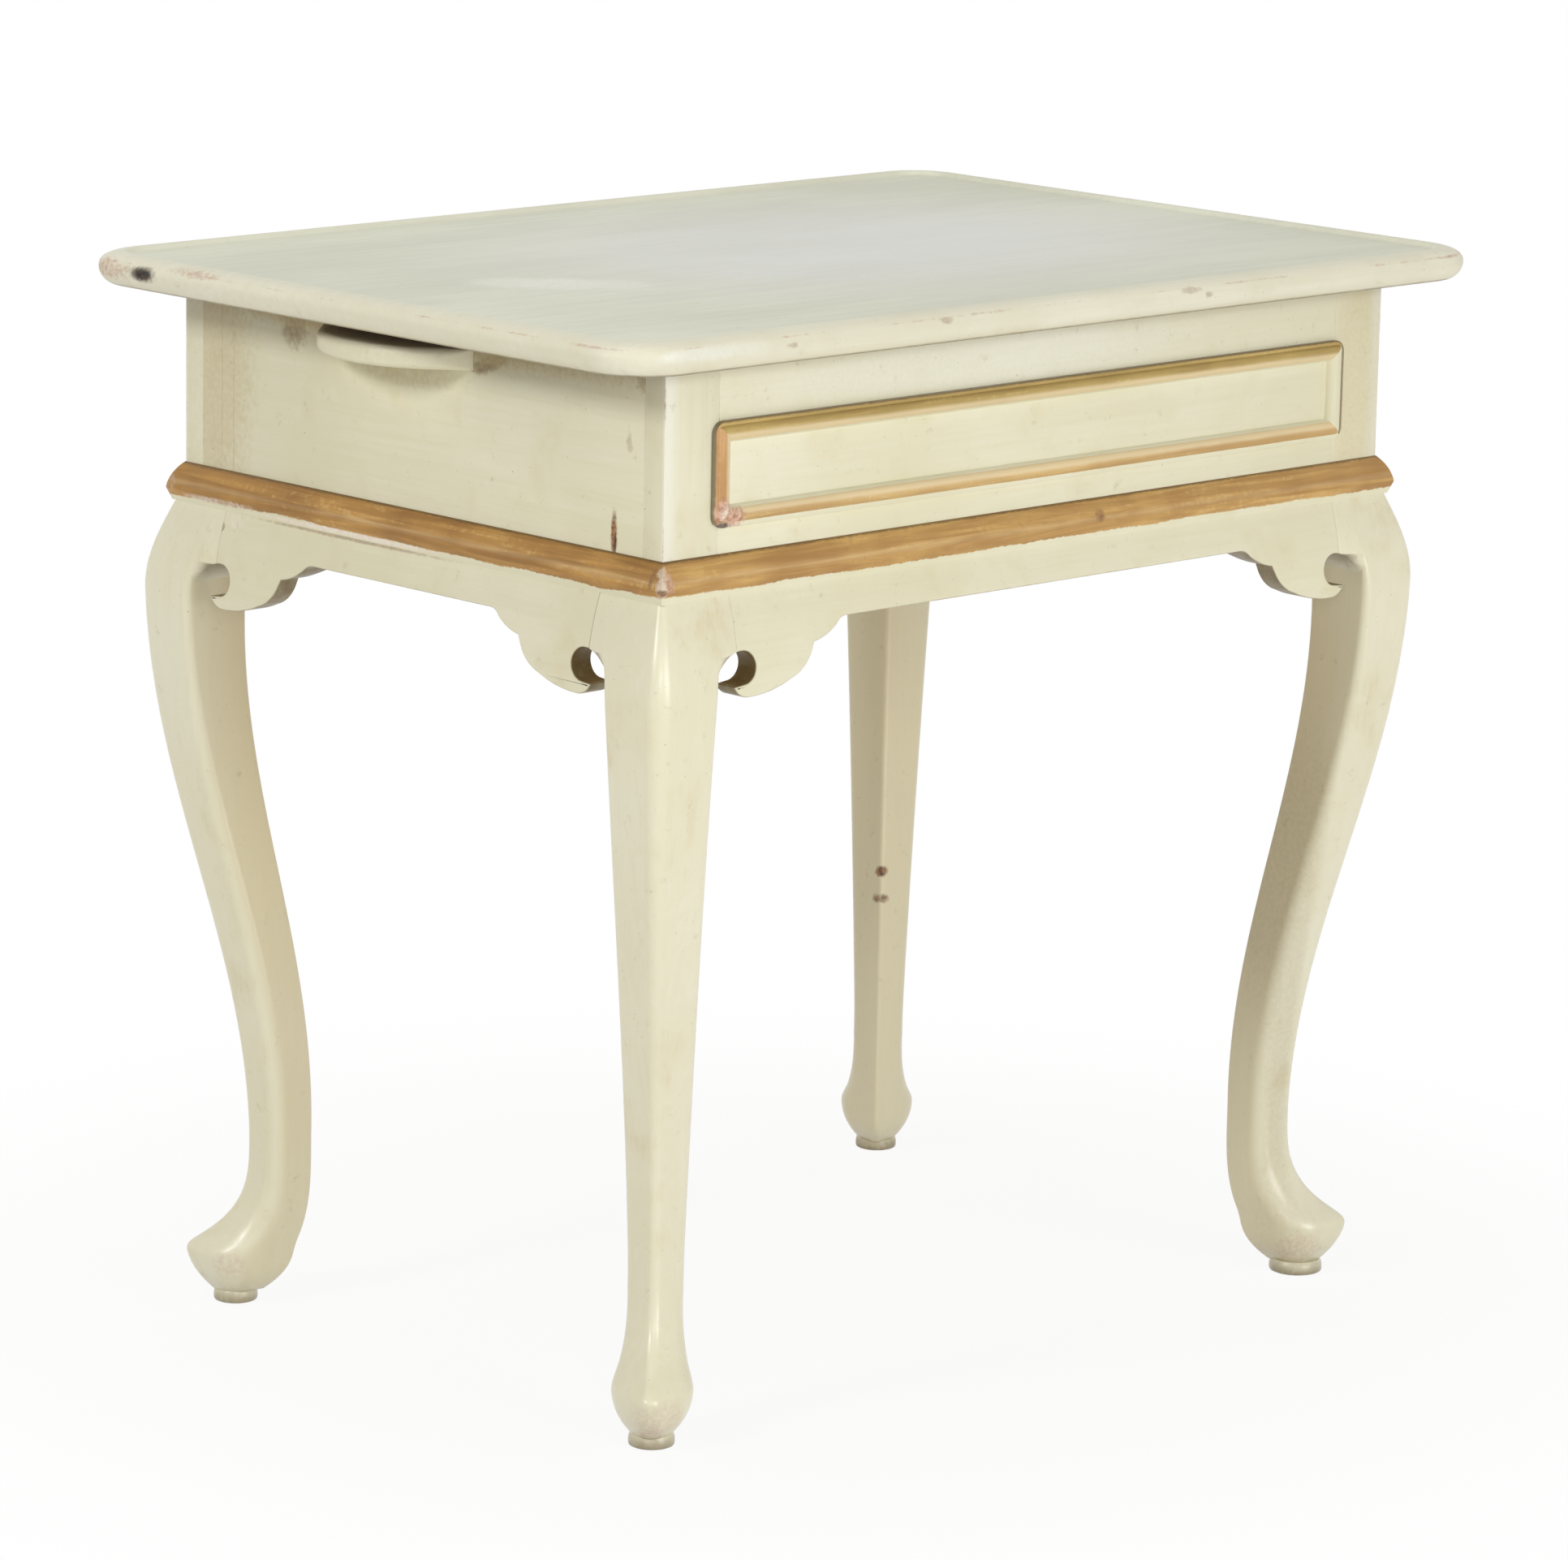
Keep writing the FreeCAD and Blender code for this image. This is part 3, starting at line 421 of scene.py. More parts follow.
    def from_corner(self, graph: Graph, place: Sock) -> tuple[Sock, Sock]:
        """How far a place lies from the case's standing corners, along x and along y."""
        x, y, _ = graph.axes(place)
        return abs(abs(x) - self.corners[0] * MM), abs(abs(y) - self.corners[1] * MM)

    def worn(self, graph: Graph, place: Sock) -> tuple[Sock, Sock]:
        """How far the paint is gone along the edges: thin wear, and nicks that reach deeper.

        Args:
            graph: the graph that is added to.
            place: Object coordinates.
        Returns:
            The shares of thin and of deep wear.
        """
        edge = graph.trait("edge")
        if self.corners is not None:
            out_x, out_y = self.from_corner(graph, place)
            edge = edge.most((out_x + out_y).ramp(3.2 * MM, 0.4 * MM) * 0.88)
        broad = graph.noise(place, 24.0, detail=3.0, rough=0.6)
        fine = graph.noise(place, 190.0, detail=3.0, rough=0.65)
        bare = edge * self.wear * (broad * 0.62 + fine * 0.38)
        return bare.ramp(0.44, 0.56), bare.ramp(0.585, 0.64)

    def bare_share(self, graph: Graph, place: Sock) -> Sock:
        """1 on unpainted faces within the half sizes that `inside` gives.

        Args:
            graph: the graph that is added to.
            place: Object coordinates.
        Returns:
            The share of bare wood.
        """
        x, y, _ = graph.axes(place)
        across, along = (abs(way).ramp((half + 1.2) * MM, (half + 0.4) * MM)
                         for way, half in zip((x, y), self.inside))
        return across * along

    def material(self) -> bpy.types.Material:
        """Make the material: paint, wear along edges, single marks, grime, dirt and painted shade where the
        mesh asks for them, dark aged wood that is partly painted shade on bare faces, and bare wood inside.

        Returns:
            The material.
        """
        made, graph = blank(self.name)
        place = graph.place()
        strokes = self.strokes(graph, place)
        colour = self.colour(graph, place, strokes)
        thin, deep = self.worn(graph, place)
        crumbs = graph.noise(place, 320.0)
        colour = graph.mix(thin * 0.75, colour, graph.mix(crumbs, *Layer.PRIMER.value))
        colour = graph.mix(deep * 0.85, colour, graph.mix(crumbs, *Layer.WOOD.value))
        gone = thin.most(deep)
        rag = graph.noise(place, 260.0, detail=3.0, rough=0.6) - 0.5
        for mark in self.marks:
            near = mark.near(graph, place, rag) * mark.depth
            colour = graph.mix(near, colour, graph.mix(crumbs.ramp(0.35, 0.62), *mark.layer.value))
            gone = gone.most(near)
        dirt = graph.noise(place, 85.0, detail=4.0, rough=0.7)
        colour = graph.shaded(dirt.ramp(0.60, 0.80) * self.grime, colour, self.DIRT)
        speck = graph.noise(place, 430.0, detail=1.0)
        colour = graph.shaded(speck.ramp(0.755, 0.83) * 0.4, colour, self.SPECK)
        # Dirt, and painted shade in hollows and on the aprons' cut edges, where the mesh asks for it
        soil = graph.trait("soil") * (0.55 + dirt * 0.8)
        colour = graph.shaded(soil.ramp(0.0, 1.0), colour, self.SOIL_AND_SHADE)
        # Bare faces in dark aged wood, partly painted shade for the gap above the slides
        old_wood_and_shade = BareWood("", lay=self.lay, **BareWood.OLD_AND_SHADE).colour(graph, place)
        colour = graph.mix(graph.trait("bare"), colour, old_wood_and_shade)
        if self.inside is not None:
            bare = self.bare_share(graph, place)
            colour = graph.mix(bare, colour, BareWood("", lay=self.lay).colour(graph, place))
            gone = gone.most(bare * 0.4)
        peel = graph.noise(place, 700.0)
        height = strokes * 0.6 + peel * 0.15 + dirt * 0.1 - gone * 0.5
        roughness = self.roughness + strokes * 0.14 + gone * 0.22
        graph.surface(colour, roughness, height, self.RELIEF, coat=self.coat)
        return made


@dataclass(frozen=True)
class Gilding:
    """Rubbed ochre gilding on a cream ground: streaks, a painted highlight, a painted shadow line, and paint
    that laps over its border.
    """

    name: str
    lay: Lay = Lay.LONG
    gold: Colour = (212, 172, 104)
    light: Colour = (224, 192, 132)
    deep: Colour = (172, 130, 74)
    # Colour of the painted shadow line
    line: Colour = (112, 90, 54)
    # Colour of the painted highlight on the gold
    worn: Colour = (234, 216, 176)
    marks: tuple[Mark, ...] = ()
    RELIEF: ClassVar[float] = 0.35

    def leaf(self, graph: Graph, streak: Sock, broad: Sock, fine: Sock) -> Sock:
        """The gold: light streaks over a deep ground, deep again in patches, and pale where the mesh's trait
        asks for a painted highlight.

        Args:
            graph: the graph that is added to.
            streak: noise drawn out along the lay.
            broad: broad patches.
            fine: fine crumbs.
        Returns:
            The gold's colour.
        """
        gold = graph.mix((streak * 0.6 + broad * 0.4).ramp(0.36, 0.66), self.deep, self.gold)
        gold = graph.mix((streak * 0.55 + fine * 0.45).ramp(0.52, 0.72) * 0.75, gold, self.light)
        dull = (broad * 0.5 + fine * 0.5).ramp(0.565, 0.66)
        gold = graph.mix(dull * 0.45, gold, self.deep)
        # Painted highlight where the mesh's trait asks for it
        rubbed = (graph.trait("rubbed") * (0.45 + broad * 0.7 + streak * 0.4)).ramp(0.25, 1.0)
        return graph.mix(rubbed * 0.8, gold, self.worn)

    def material(self) -> bpy.types.Material:
        """Make the material: streaked gold, a painted shadow line where the trait "line" says, cream where
        "gilt" ends.

        Returns:
            The material.
        """
        made, graph = blank(self.name)
        place = graph.place()
        streak = graph.noise(graph.times(place, self.lay.times(0.9, 4.0)), 1.0,
                             detail=4.0, rough=0.6, twist=0.6)
        broad = graph.noise(place, 14.0, detail=3.0, rough=0.55)
        fine = graph.noise(place, 230.0, detail=3.0, rough=0.65)
        border = graph.trait("gilt") + (broad - 0.5) * 0.9 + (fine - 0.5) * 0.35
        gilt = border.ramp(0.42, 0.56)
        ground = CreamPaint("", lay=self.lay)
        cream = ground.colour(graph, place, ground.strokes(graph, place))
        colour = graph.mix(gilt, cream, self.leaf(graph, streak, broad, fine))
        # Painted shadow line where the trait "line" says
        edge = (graph.trait("line") * (0.55 + fine * 0.9)).ramp(0.55, 0.9)
        colour = graph.mix(edge * 0.8, colour, self.line)
        worn = (graph.trait("edge") * (broad * 0.5 + fine * 0.5)).ramp(0.47, 0.56)
        colour = graph.mix(worn * 0.8, colour, graph.mix(fine.ramp(0.4, 0.6), *Layer.PRIMER.value))
        rag = graph.noise(place, 300.0, detail=3.0, rough=0.6) - 0.5
        for mark in self.marks:
            near = mark.near(graph, place, rag)
            shows = graph.mix(fine.ramp(0.38, 0.62), *mark.layer.value)
            colour = graph.mix(near * mark.depth, colour, shows)
            gilt = gilt * (1 - near)
        height = streak * 0.5 + fine * 0.3 + gilt * 0.2 - worn * 0.4
        roughness = 0.36 + streak * 0.18 + worn * 0.2
        graph.surface(colour, roughness, height, self.RELIEF, metallic=gilt * 0.22)
        return made


@dataclass(frozen=True)
class BareWood:
    """Unpainted softwood: long grain, growth lines, pores and age."""

    name: str
    lay: Lay = Lay.LONG
    early: Colour = (206, 168, 118)
    late: Colour = (160, 112, 66)
    aged: Colour = (136, 98, 62)
    PORE: ClassVar[Colour] = (140, 104, 70)
    RELIEF: ClassVar[float] = 0.25
    # Dark aged wood, kept this dark partly as painted shade, so the gap above the slides reads black
    OLD_AND_SHADE: ClassVar[dict[str, Colour]] = {"early": (112, 84, 56), "late": (78, 56, 36), "aged": (60, 44, 30)}

    def colour(self, graph: Graph, place: Sock) -> Sock:
        """Grain lines drawn out along the lay, with broad darker patches.

        Args:
            graph: the graph that is added to.
            place: Object coordinates.
        Returns:
            The wood's colour before its pores.
        """
        line = graph.noise(graph.times(place, self.lay.times(0.55)), 1.0, detail=4.0, rough=0.55, twist=1.4)
        grain = graph.mix(line.ramp(0.40, 0.63), self.early, self.late)
        return graph.mix(graph.noise(place, 9.0, detail=3.0).ramp(0.5, 0.75) * 0.55, grain, self.aged)

    def material(self) -> bpy.types.Material:
        """Make the material: grain colour, pores in the relief and a dry surface.

        Returns:
            The material.
        """
        made, graph = blank(self.name)
        place = graph.place()
        pores = graph.noise(graph.times(place, self.lay.times(4.0)), 1.0)
        colour = graph.shaded(pores.ramp(0.58, 0.72) * 0.6, self.colour(graph, place), self.PORE)
        graph.surface(colour, 0.62 + pores * 0.22, pores, self.RELIEF)
        return made


# ---------------------------------------------------------------- surfaces

@dataclass
class Shell:
    """A closed skin: rows of points that run round, each row joined to the next and both ends capped.

    points is rows x columns x 3 in millimetres; each trait is rows x columns, from 0 to 1.
    """

    points: np.ndarray
    traits: dict[str, np.ndarray]

    def faces(self, start: int) -> list[list[int]]:
        """List the faces as point numbers from start: a quad between neighbours, an n-gon at each end.

        Args:
            start: number of the first point in the mesh.
        Returns:
            The faces, each a list of point numbers.
        """
        rows, columns = self.points.shape[:2]
        index = start + np.arange(rows * columns).reshape(rows, columns)
        beside = np.roll(index, -1, axis=1)
        quads = np.stack([index[:-1], beside[:-1], beside[1:], index[1:]], axis=-1).reshape(-1, 4)
        return quads.tolist() + [index[0][::-1].tolist(), index[-1].tolist()]


def join(name: str, shells: Sequence[Shell]) -> bpy.types.Mesh:
    """Put shells into one mesh, in metres, with their traits and with faces that point outwards.

    Args:
        name: the mesh's name.
        shells: closed skins.
    Returns:
        The mesh.
    """
    counts = np.cumsum([0] + [shell.points.shape[0] * shell.points.shape[1] for shell in shells])
    points = np.concatenate([shell.points.reshape(-1, 3) for shell in shells]) * MM
    faces = [face for shell, start in zip(shells, counts) for face in shell.faces(int(start))]
    mesh = bpy.data.meshes.new(name)
    mesh.from_pydata(points, [], faces)
    for trait in sorted({key for shell in shells for key in shell.traits}):
        parts = [np.broadcast_to(shell.traits.get(trait, 0.0), shell.points.shape[:2]) for shell in shells]
        values = np.concatenate([part.ravel() for part in parts])
        mesh.attributes.new(trait, "FLOAT", "POINT").data.foreach_set("value", values.astype(np.float32))
    outward(mesh)
    return mesh


def outward(mesh: bpy.types.Mesh) -> None:
    """Turn every face of a closed mesh outwards.

    Args:
        mesh: the mesh, which is changed in place.
    """
    skin = bmesh.new()
    skin.from_mesh(mesh)
    bmesh.ops.recalc_face_normals(skin, faces=skin.faces)
    skin.to_mesh(mesh)
    skin.free()


def show(mesh: bpy.types.Mesh, finish: bpy.types.Material, body: str, node: str,
         crease: float = 38.0) -> None:
    """Put a mesh into the scene in the place of a CAD node.

    Args:
        mesh: the finished mesh, in its place.
        finish: its material.
        body: the body that it moves with.
        node: the CAD node that it stands for.
        crease: faces that meet at a larger angle, in degrees, keep a sharp edge.
    """
    mesh.polygons.foreach_set("use_smooth", np.ones(len(mesh.polygons), bool))
    mesh.set_sharp_from_angle(angle=math.radians(crease))
    mesh.materials.append(finish)
    piece = bpy.data.objects.new(mesh.name, mesh)
    bpy.context.scene.collection.objects.link(piece)
    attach(piece, body)
    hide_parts(node)
    LOG.info("%s on %s: %d faces, stands for %s", piece.name, body, len(mesh.polygons), node)


def arc(start: Flat, end: Flat, radius: float, steps: int) -> np.ndarray:
    """Points of the shorter arc between two points, without the last one.

    The middle lies on the normal through the chord's midpoint, sqrt(radius^2 - (chord / 2)^2) away from
    it: to the left of the way for a positive radius and to the right for a negative one.

    Args:
        start: first point.
        end: last point.
        radius: signed radius.
        steps: how many points.
    Returns:
        steps x 2 points.
    """
    first, last = np.array(start, float), np.array(end, float)
    chord = last - first
    length = np.hypot(*chord)
    left = np.array([-chord[1], chord[0]]) / length
    aside = math.copysign(1, radius) * math.sqrt(max(radius ** 2 - length ** 2 / 4, 0))
    middle = (first + last) / 2 + aside * left
    begin, finish = (math.atan2(*(point - middle)[::-1]) for point in (first, last))
    sweep = (finish - begin + math.pi) % (2 * math.pi) - math.pi
    angle = begin + sweep * np.linspace(0, 1, steps, endpoint=False)
    return middle + abs(radius) * np.stack([np.cos(angle), np.sin(angle)], axis=1)


def run(start: Flat, end: Flat, steps: int) -> np.ndarray:
    """Points of a straight run, without the last one."""
    share = np.linspace(0, 1, steps, endpoint=False)[:, None]
    return np.array(start, float) * (1 - share) + np.array(end, float) * share


def raised(plan: np.ndarray, height: np.ndarray) -> np.ndarray:
    """Rows of plan points, rows x columns x 2, with each row lifted to its own height."""
    tall = np.broadcast_to(height[:, None, None], plan.shape[:2] + (1,))
    return np.concatenate([plan, tall], axis=2)


def outward_normals(outline: np.ndarray) -> np.ndarray:
    """Mitred normals of a closed outline that runs anticlockwise: an offset along them keeps its width.

    Each is the mean of the two neighbouring edges' normals, divided by the cosine of half the turn.

    Args:
        outline: points x 2, closed.
    Returns:
        A normal for each point, longer where the outline turns.
    """
    edge = np.roll(outline, -1, axis=0) - outline
    normal = np.stack([edge[:, 1], -edge[:, 0]], axis=1)
    normal /= np.maximum(np.hypot(normal[:, 0], normal[:, 1]), 1e-9)[:, None]
    mean = normal + np.roll(normal, 1, axis=0)
    mean /= np.maximum(np.hypot(mean[:, 0], mean[:, 1]), 1e-9)[:, None]
    cosine = np.maximum((mean * normal).sum(axis=1), 0.4)
    return mean / cosine[:, None]


def softened(node: str, width: float, finish: bpy.types.Material, body: str) -> None:
    """Copy a painted CAD board, merge its loose triangles and take off its arrises.

    The new faces carry "edge". Faces that meet at less than FLAT_DEGREES become one, and edges of more than
    SHARP_DEGREES are rounded.

    Args:
        node: the CAD node.
        width: width of the rounded arris in millimetres.
        finish: the material.
        body: the body that the board moves with.
    """
    board = bmesh.new()
    board.from_mesh(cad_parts[node].data)
    layer = board.faces.layers.float.new("edge")
    bmesh.ops.remove_doubles(board, verts=board.verts, dist=MERGING)
    bmesh.ops.dissolve_limit(
        board, angle_limit=math.radians(FLAT_DEGREES), verts=board.verts, edges=board.edges)
    sharp = [edge for edge in board.edges
             if edge.is_manifold and edge.calc_face_angle(0.0) > math.radians(SHARP_DEGREES)]
    made = bmesh.ops.bevel(board, geom=sharp, offset=width * MM, offset_type="OFFSET", segments=2,
                           profile=0.5, affect="EDGES", clamp_overlap=True)
    for face in made["faces"]:
        face[layer] = 1.0
    mesh = bpy.data.meshes.new(f"{node}_board")
    board.to_mesh(mesh)
    board.free()
    show(mesh, finish, body, node)


def dress(finish: BareWood, *nodes: str) -> None:
    """Give CAD nodes that keep their shape a better material.

    Args:
        finish: the wood.
        nodes: the CAD nodes.
    """
    material = finish.material()
    for node in nodes:
        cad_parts[node].data.materials.clear()
        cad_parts[node].data.materials.append(material)
        LOG.info("%s keeps its solid, dressed in %s", node, finish.name)


# ---------------------------------------------------------------- sub-assemblies

@dataclass
class TrayTop:
    """The tray top: a flat field inside a rolled rim that runs round four rounded corners.

    LIP lists the small rounded lip and the hollow behind it: inset, and height beside the crest.
    """

    half_length: float = 393.0
    half_width: float = 276.0
    corner: float = 45.0
    under: float = 699.0
    crest: float = 720.0
    crest_inset: float = 17.57
    nose_height: float = 710.5
    nose: float = 7.0
    sweep: float = 32.14
    undercut: float = 11.71
    undercut_turn: Flat = (79, 0)
    nose_turn: Flat = (8, 65)
    sweep_span: Flat = (4.8, 16.6)
    under_insets: Flat = (40.0, 12.0)
    unevenness: float = 0.5
    LIP: ClassVar[tuple[Flat, ...]] = (
        (17.6, -0.03), (18.4, -0.22), (19.0, -0.62), (19.5, -1.25), (20.1, -1.95), (21.0, -2.52),
        (22.4, -2.86), (24.4, -3.0), (30.0, -3.0))

    def outline(self, per_corner: int = 22, per_side: int = 46) -> np.ndarray:
        """The rounded rectangle, anticlockwise: four quarter circles joined by straight runs.

        Args:
            per_corner: points on each rounded corner.
            per_side: points on each side.
        Returns:
            Points x 2.
        """
        x, y, r = self.half_length, self.half_width, self.corner
        stops = [((x, y - r), (x - r, y)), ((-x + r, y), (-x, y - r)),
                 ((-x, -y + r), (-x + r, -y)), ((x - r, -y), (x, -y + r))]
        parts = []
        for number, (start, end) in enumerate(stops):
            parts += [arc(start, end, r, per_corner), run(end, stops[(number + 1) % 4][0], per_side)]
        return np.concatenate(parts)

    def profile(self) -> np.ndarray:
        """The rim from the underside to the field, ring by ring.

        Three arcs that run into each other (undercut, nose and sweep), a small rounded lip and a soft
        hollow down to the field. The edges are bells round the nose and the lip.

        Returns:
            Rows of inset, height, "edge", "field", "bare" and "soil".
        """
        low = np.radians(np.linspace(*self.undercut_turn, 9))
        nose = np.radians(np.linspace(*self.nose_turn, 8))
        sweep = np.linspace(*self.sweep_span, 9)
        rise = np.sqrt(self.sweep ** 2 - (sweep - self.crest_inset) ** 2) - self.sweep
        inset, height = np.concatenate([
            [(inset, self.under) for inset in self.under_insets],
            self.undercut * np.stack([1 - np.cos(low), -np.sin(low)], axis=1) + (0, self.nose_height),
            self.nose * np.stack([1 - np.cos(nose), np.sin(nose)], axis=1) + (0, self.nose_height),
            np.stack([sweep, self.crest + rise], axis=1),
            np.array(self.LIP) + (0, self.crest)]).T
        edge = np.exp(-((inset - 3.2) / 2.6) ** 2) * (height > self.nose_height - 4) * 0.98
        edge = np.maximum(edge, 0.66 * np.exp(-((inset - 18.4) / 1.1) ** 2) * (height > self.nose_height))
        flat = np.clip((inset - 5.0) / 19.0, 0, 1) * (height > self.nose_height)
        # The underside is bare aged wood, kept dark partly as painted shade for the gap above the slides
        bare = (height < self.under + 0.01) * np.clip((inset - 11.9) / 0.1, 0, 1)
        # Darker along the lower arris of the rim, all round
        soil = 0.75 * np.clip((self.under + 2.2 - height) / 1.2, 0, 1) * (1 - bare)
        return np.stack([inset, height, edge, flat, bare, soil], axis=1)

    def shell(self) -> Shell:
        """Carry the profile round the outline: each ring is the outline moved in by its inset.

        The rim is not quite straight: waves of three lengths, which only ever go inwards, move it.

        Returns:
            The closed skin.
        """
        outline = self.outline()
        normal = outward_normals(outline)
        inset, height, edge, flat, bare, soil = self.profile().T
        way = np.linspace(0, 2 * np.pi, len(outline), endpoint=False)
        waves = (np.sin(5 * way + 0.4) + 0.7 * np.sin(13 * way + 2.0) + 0.5 * np.sin(29 * way + 1.1)) / 2.2
        hollow = self.unevenness * (0.5 - 0.5 * waves)
        fade = np.clip(1 - inset / 30.0, 0, 1)[:, None]
        points = outline[None] - normal[None] * (inset[:, None] + fade * hollow[None])[..., None]
        along, across = np.abs(outline).T
        corner = (along > self.half_length - 60) & (across > self.half_width - 60)
        traits = {name: np.broadcast_to(values[:, None], points.shape[:2])
                  for name, values in (("field", flat), ("bare", bare), ("soil", soil))}
        traits["edge"] = edge[:, None] * (0.93 + 0.12 * corner[None])
        return Shell(raised(points, height), traits)

    def build(self) -> None:
        """Make the top and paint it."""
        paint = CreamPaint(
            "top_paint", tone=(230, 228, 207), pale=(239, 238, 222), aged=(217, 210, 180),
            field_tone=(225, 228, 212), roughness=0.46, grime=0.22, marks=(
                Mark((-391, 201, 711), (5, 15, 5.5), Layer.HOLE, 0.35),
                Mark((-389, 238, 711), (9, 26, 7), Layer.PRIMER, 0.8, 0.8),
                Mark((-372, 262, 711), (30, 12, 7), Layer.PRIMER, 0.8, 0.8),
                Mark((-385, 150, 716), (9, 30, 3), Layer.PRIMER, 0.9, 0.7),
                Mark((-330, -273, 712), (60, 6, 5), Layer.RUBBED_AND_HIGHLIGHT, 0.3, 0.6),
                Mark((-128, -274, 715), (7, 5, 2.4), Layer.WOOD, 0.7, 0.4),
                Mark((96, -274, 715), (10, 5, 2.4), Layer.WOOD, 0.8, 0.35),
                Mark((112, -275, 711), (4, 4, 2), Layer.WOOD, 0.6, 0.4),
                Mark((-262, -275, 711), (6, 4, 2), Layer.WOOD, 0.8, 0.35),
                Mark((384, -255, 711), (16, 26, 7), Layer.PRIMER, 0.9, 0.6),
                # Painted highlight: three white patches on the field along a reflected streak of light
                Mark((-250, 2, 717), (28, 28, 3), Layer.RUBBED_AND_HIGHLIGHT, 0.3, 0.7),
                Mark((-226, -22, 717), (32, 32, 3), Layer.RUBBED_AND_HIGHLIGHT, 0.3, 1.0),
                Mark((-200, -46, 717), (26, 26, 3), Layer.RUBBED_AND_HIGHLIGHT, 0.3, 0.7),
            )).material()
        show(join("tray_top", [self.shell()]), paint, "table", "top_board", crease=60)


@dataclass(frozen=True)
class Station:
    """A section of a leg: height, middle beyond the pad's middle, side and its two rounding shares."""

    height: float
    middle: float
    side: float
    arris: float
    flank: float

    def row(self) -> np.ndarray:
        """The five values in order."""
        return np.array([self.height, self.middle, self.side, self.arris, self.flank])


def swelling(height: np.ndarray, low: float, high: float, swell: float) -> np.ndarray:
    """How far a face stands out at a height: an arc that is upright at its lowest point and ends above.

    Args:
        height: heights.
        low: where the arc is upright and stands out the most.
        high: where it has come back to nothing.
        swell: how far it stands out.
    Returns:
        sqrt(r^2 - (height - low)^2) - r + swell, and nothing above the arc.
    """
    radius = (swell ** 2 + (high - low) ** 2) / (2 * swell)
    up = np.clip(height - low, 0, high - low)
    return np.maximum(np.sqrt(radius ** 2 - up ** 2) - radius + swell, 0)


